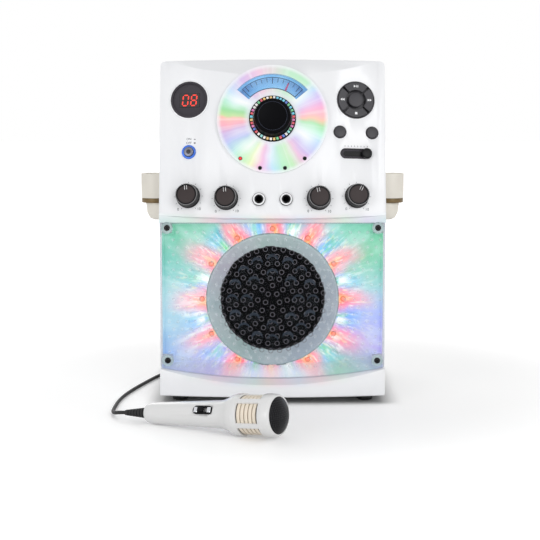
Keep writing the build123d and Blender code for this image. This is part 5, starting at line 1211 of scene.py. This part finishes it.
bosses = []
for x, z in coverCorners:
    boss = roundedTurn([(3.5, 0.0), (6.6, 0.0), (6.6, 0.5), (5.9, 1.0), (4.1, 1.0), (3.5, 0.6)], 0.12, 48,
                       True)
    bosses.append(moved(boss, frontPlace(x, z)))
meshPiece("screwBosses", joined(*bosses), show["boss"], "machine", None, 40, ())


def crossScrew(radius, high):
    # a low round head with a cross pressed into it
    cap = roundedTurn([(0, 0), (radius, 0), (radius, high * 0.45), (radius * 0.72, high * 0.85),
                       (radius * 0.40, high),
                       (0, high)], 0.12, 32)
    cross = joined(block((radius * 1.15, radius * 0.26, high * 0.5), (0, 0, high * 0.80)),
                   block((radius * 0.26, radius * 1.15, high * 0.5), (0, 0, high * 0.80)))
    return cap, cross


caps, crosses = [], []
for x, z in coverCorners:
    cap, cross = crossScrew(3.3, 1.3)
    turn = Matrix.Rotation(math.radians(20 + x), 4, "Z")
    caps.append(moved(cap, frontPlace(x, z, coverFacts["face"] + 0.2) @ turn))
    crosses.append(moved(cross, frontPlace(x, z, coverFacts["face"] + 0.1) @ turn))
meshPiece("frontScrews", joined(*caps), paint["screw"], "machine", None, 40, ())
meshPiece("frontCrosses", joined(*crosses), paint["black"], "machine", None, 0, ())

# reflector: twelve flared lamp cups, their lamps and low radial vanes
cups, lampCaps = [], []
for k in range(coverFacts["lamps"]):
    angle = math.radians(360 / coverFacts["lamps"] * k)
    x = coverFacts["lampRing"] * math.cos(angle)
    z = coverFacts["middle"] + coverFacts["lampRing"] * math.sin(angle)
    cup = roundedTurn([(2.75, 0.02), (6.0, 0.02), (5.4, 0.9), (4.6, 1.2), (3.0, 0.5)], 0.1, 28, True)
    cups.append(moved(cup, frontPlace(x, z, coverFacts["reflectorFace"])))
    cap = domeShape(2.5, 1.8, 20, 5)
    lampCaps.append(moved(cap, frontPlace(x, z, coverFacts["reflectorFace"] - 1.0)))
meshPiece("lampCups", joined(*cups), show["lights"], "machine", None, 50, ())
meshPiece("lampDomes", joined(*lampCaps), show["pinkLamp"], "machine", None, 60, ())
vanes = []
for k in range(60):
    angle = math.radians(6 * k + 3)
    if (6 * k + 3) % 30 in (3, 27):  # a lamp stands here
        continue
    vane = bmesh.new()
    rows = [(77.5, 0.5), (98.0, 2.6)]
    inner = [vane.verts.new((rows[0][0] * mm, s * rows[0][1] * mm, 0.0)) for s in (-1, 1)]
    outer = [vane.verts.new((rows[1][0] * mm, s * rows[1][1] * mm, 0.0)) for s in (1, -1)]
    peak = [vane.verts.new((78.5 * mm, 0, 0.5 * mm)), vane.verts.new((96.0 * mm, 0, 1.9 * mm))]
    vane.faces.new((inner[0], inner[1], outer[0], outer[1]))
    vane.faces.new((inner[1], inner[0], peak[0]))
    vane.faces.new((inner[0], outer[1], peak[1], peak[0]))
    vane.faces.new((outer[0], inner[1], peak[0], peak[1]))
    vane.faces.new((outer[1], outer[0], peak[1]))
    bmesh.ops.recalc_face_normals(vane, faces=vane.faces)
    spot = Vector((98 * math.cos(angle), 0, 98 * math.sin(angle) + coverFacts["middle"]))
    if abs(spot.x) < 120 and 48 < spot.z < 199:
        vanes.append(moved(vane, frontPlace(0, coverFacts["middle"], -100.98) @ Matrix.Rotation(angle, 4,
                                                                                                "Z")))
meshPiece("reflectorVanes", joined(*vanes), show["lights"], "machine", None, 0, ())
edge = [(-124.0 + 248.0 * k / 48) for k in range(49)]
lowEdge = [(x, 27.9 + x * x / 1335 - coverFacts["middle"]) for x in edge]
topEdge = []
for x in reversed(edge):
    z = -73.0
    if abs(x) < 17.2:
        z = -math.sqrt(75.0**2 - x * x) - 0.1
    topEdge.append((x, z))
ledge = prism(lowEdge + topEdge, 0.0, 0.15)
meshPiece("ledgeShow", ledge, show["lights"], "machine", frontPlace(0, coverFacts["middle"], -105.2), 0,
          ())
print("light show finished")
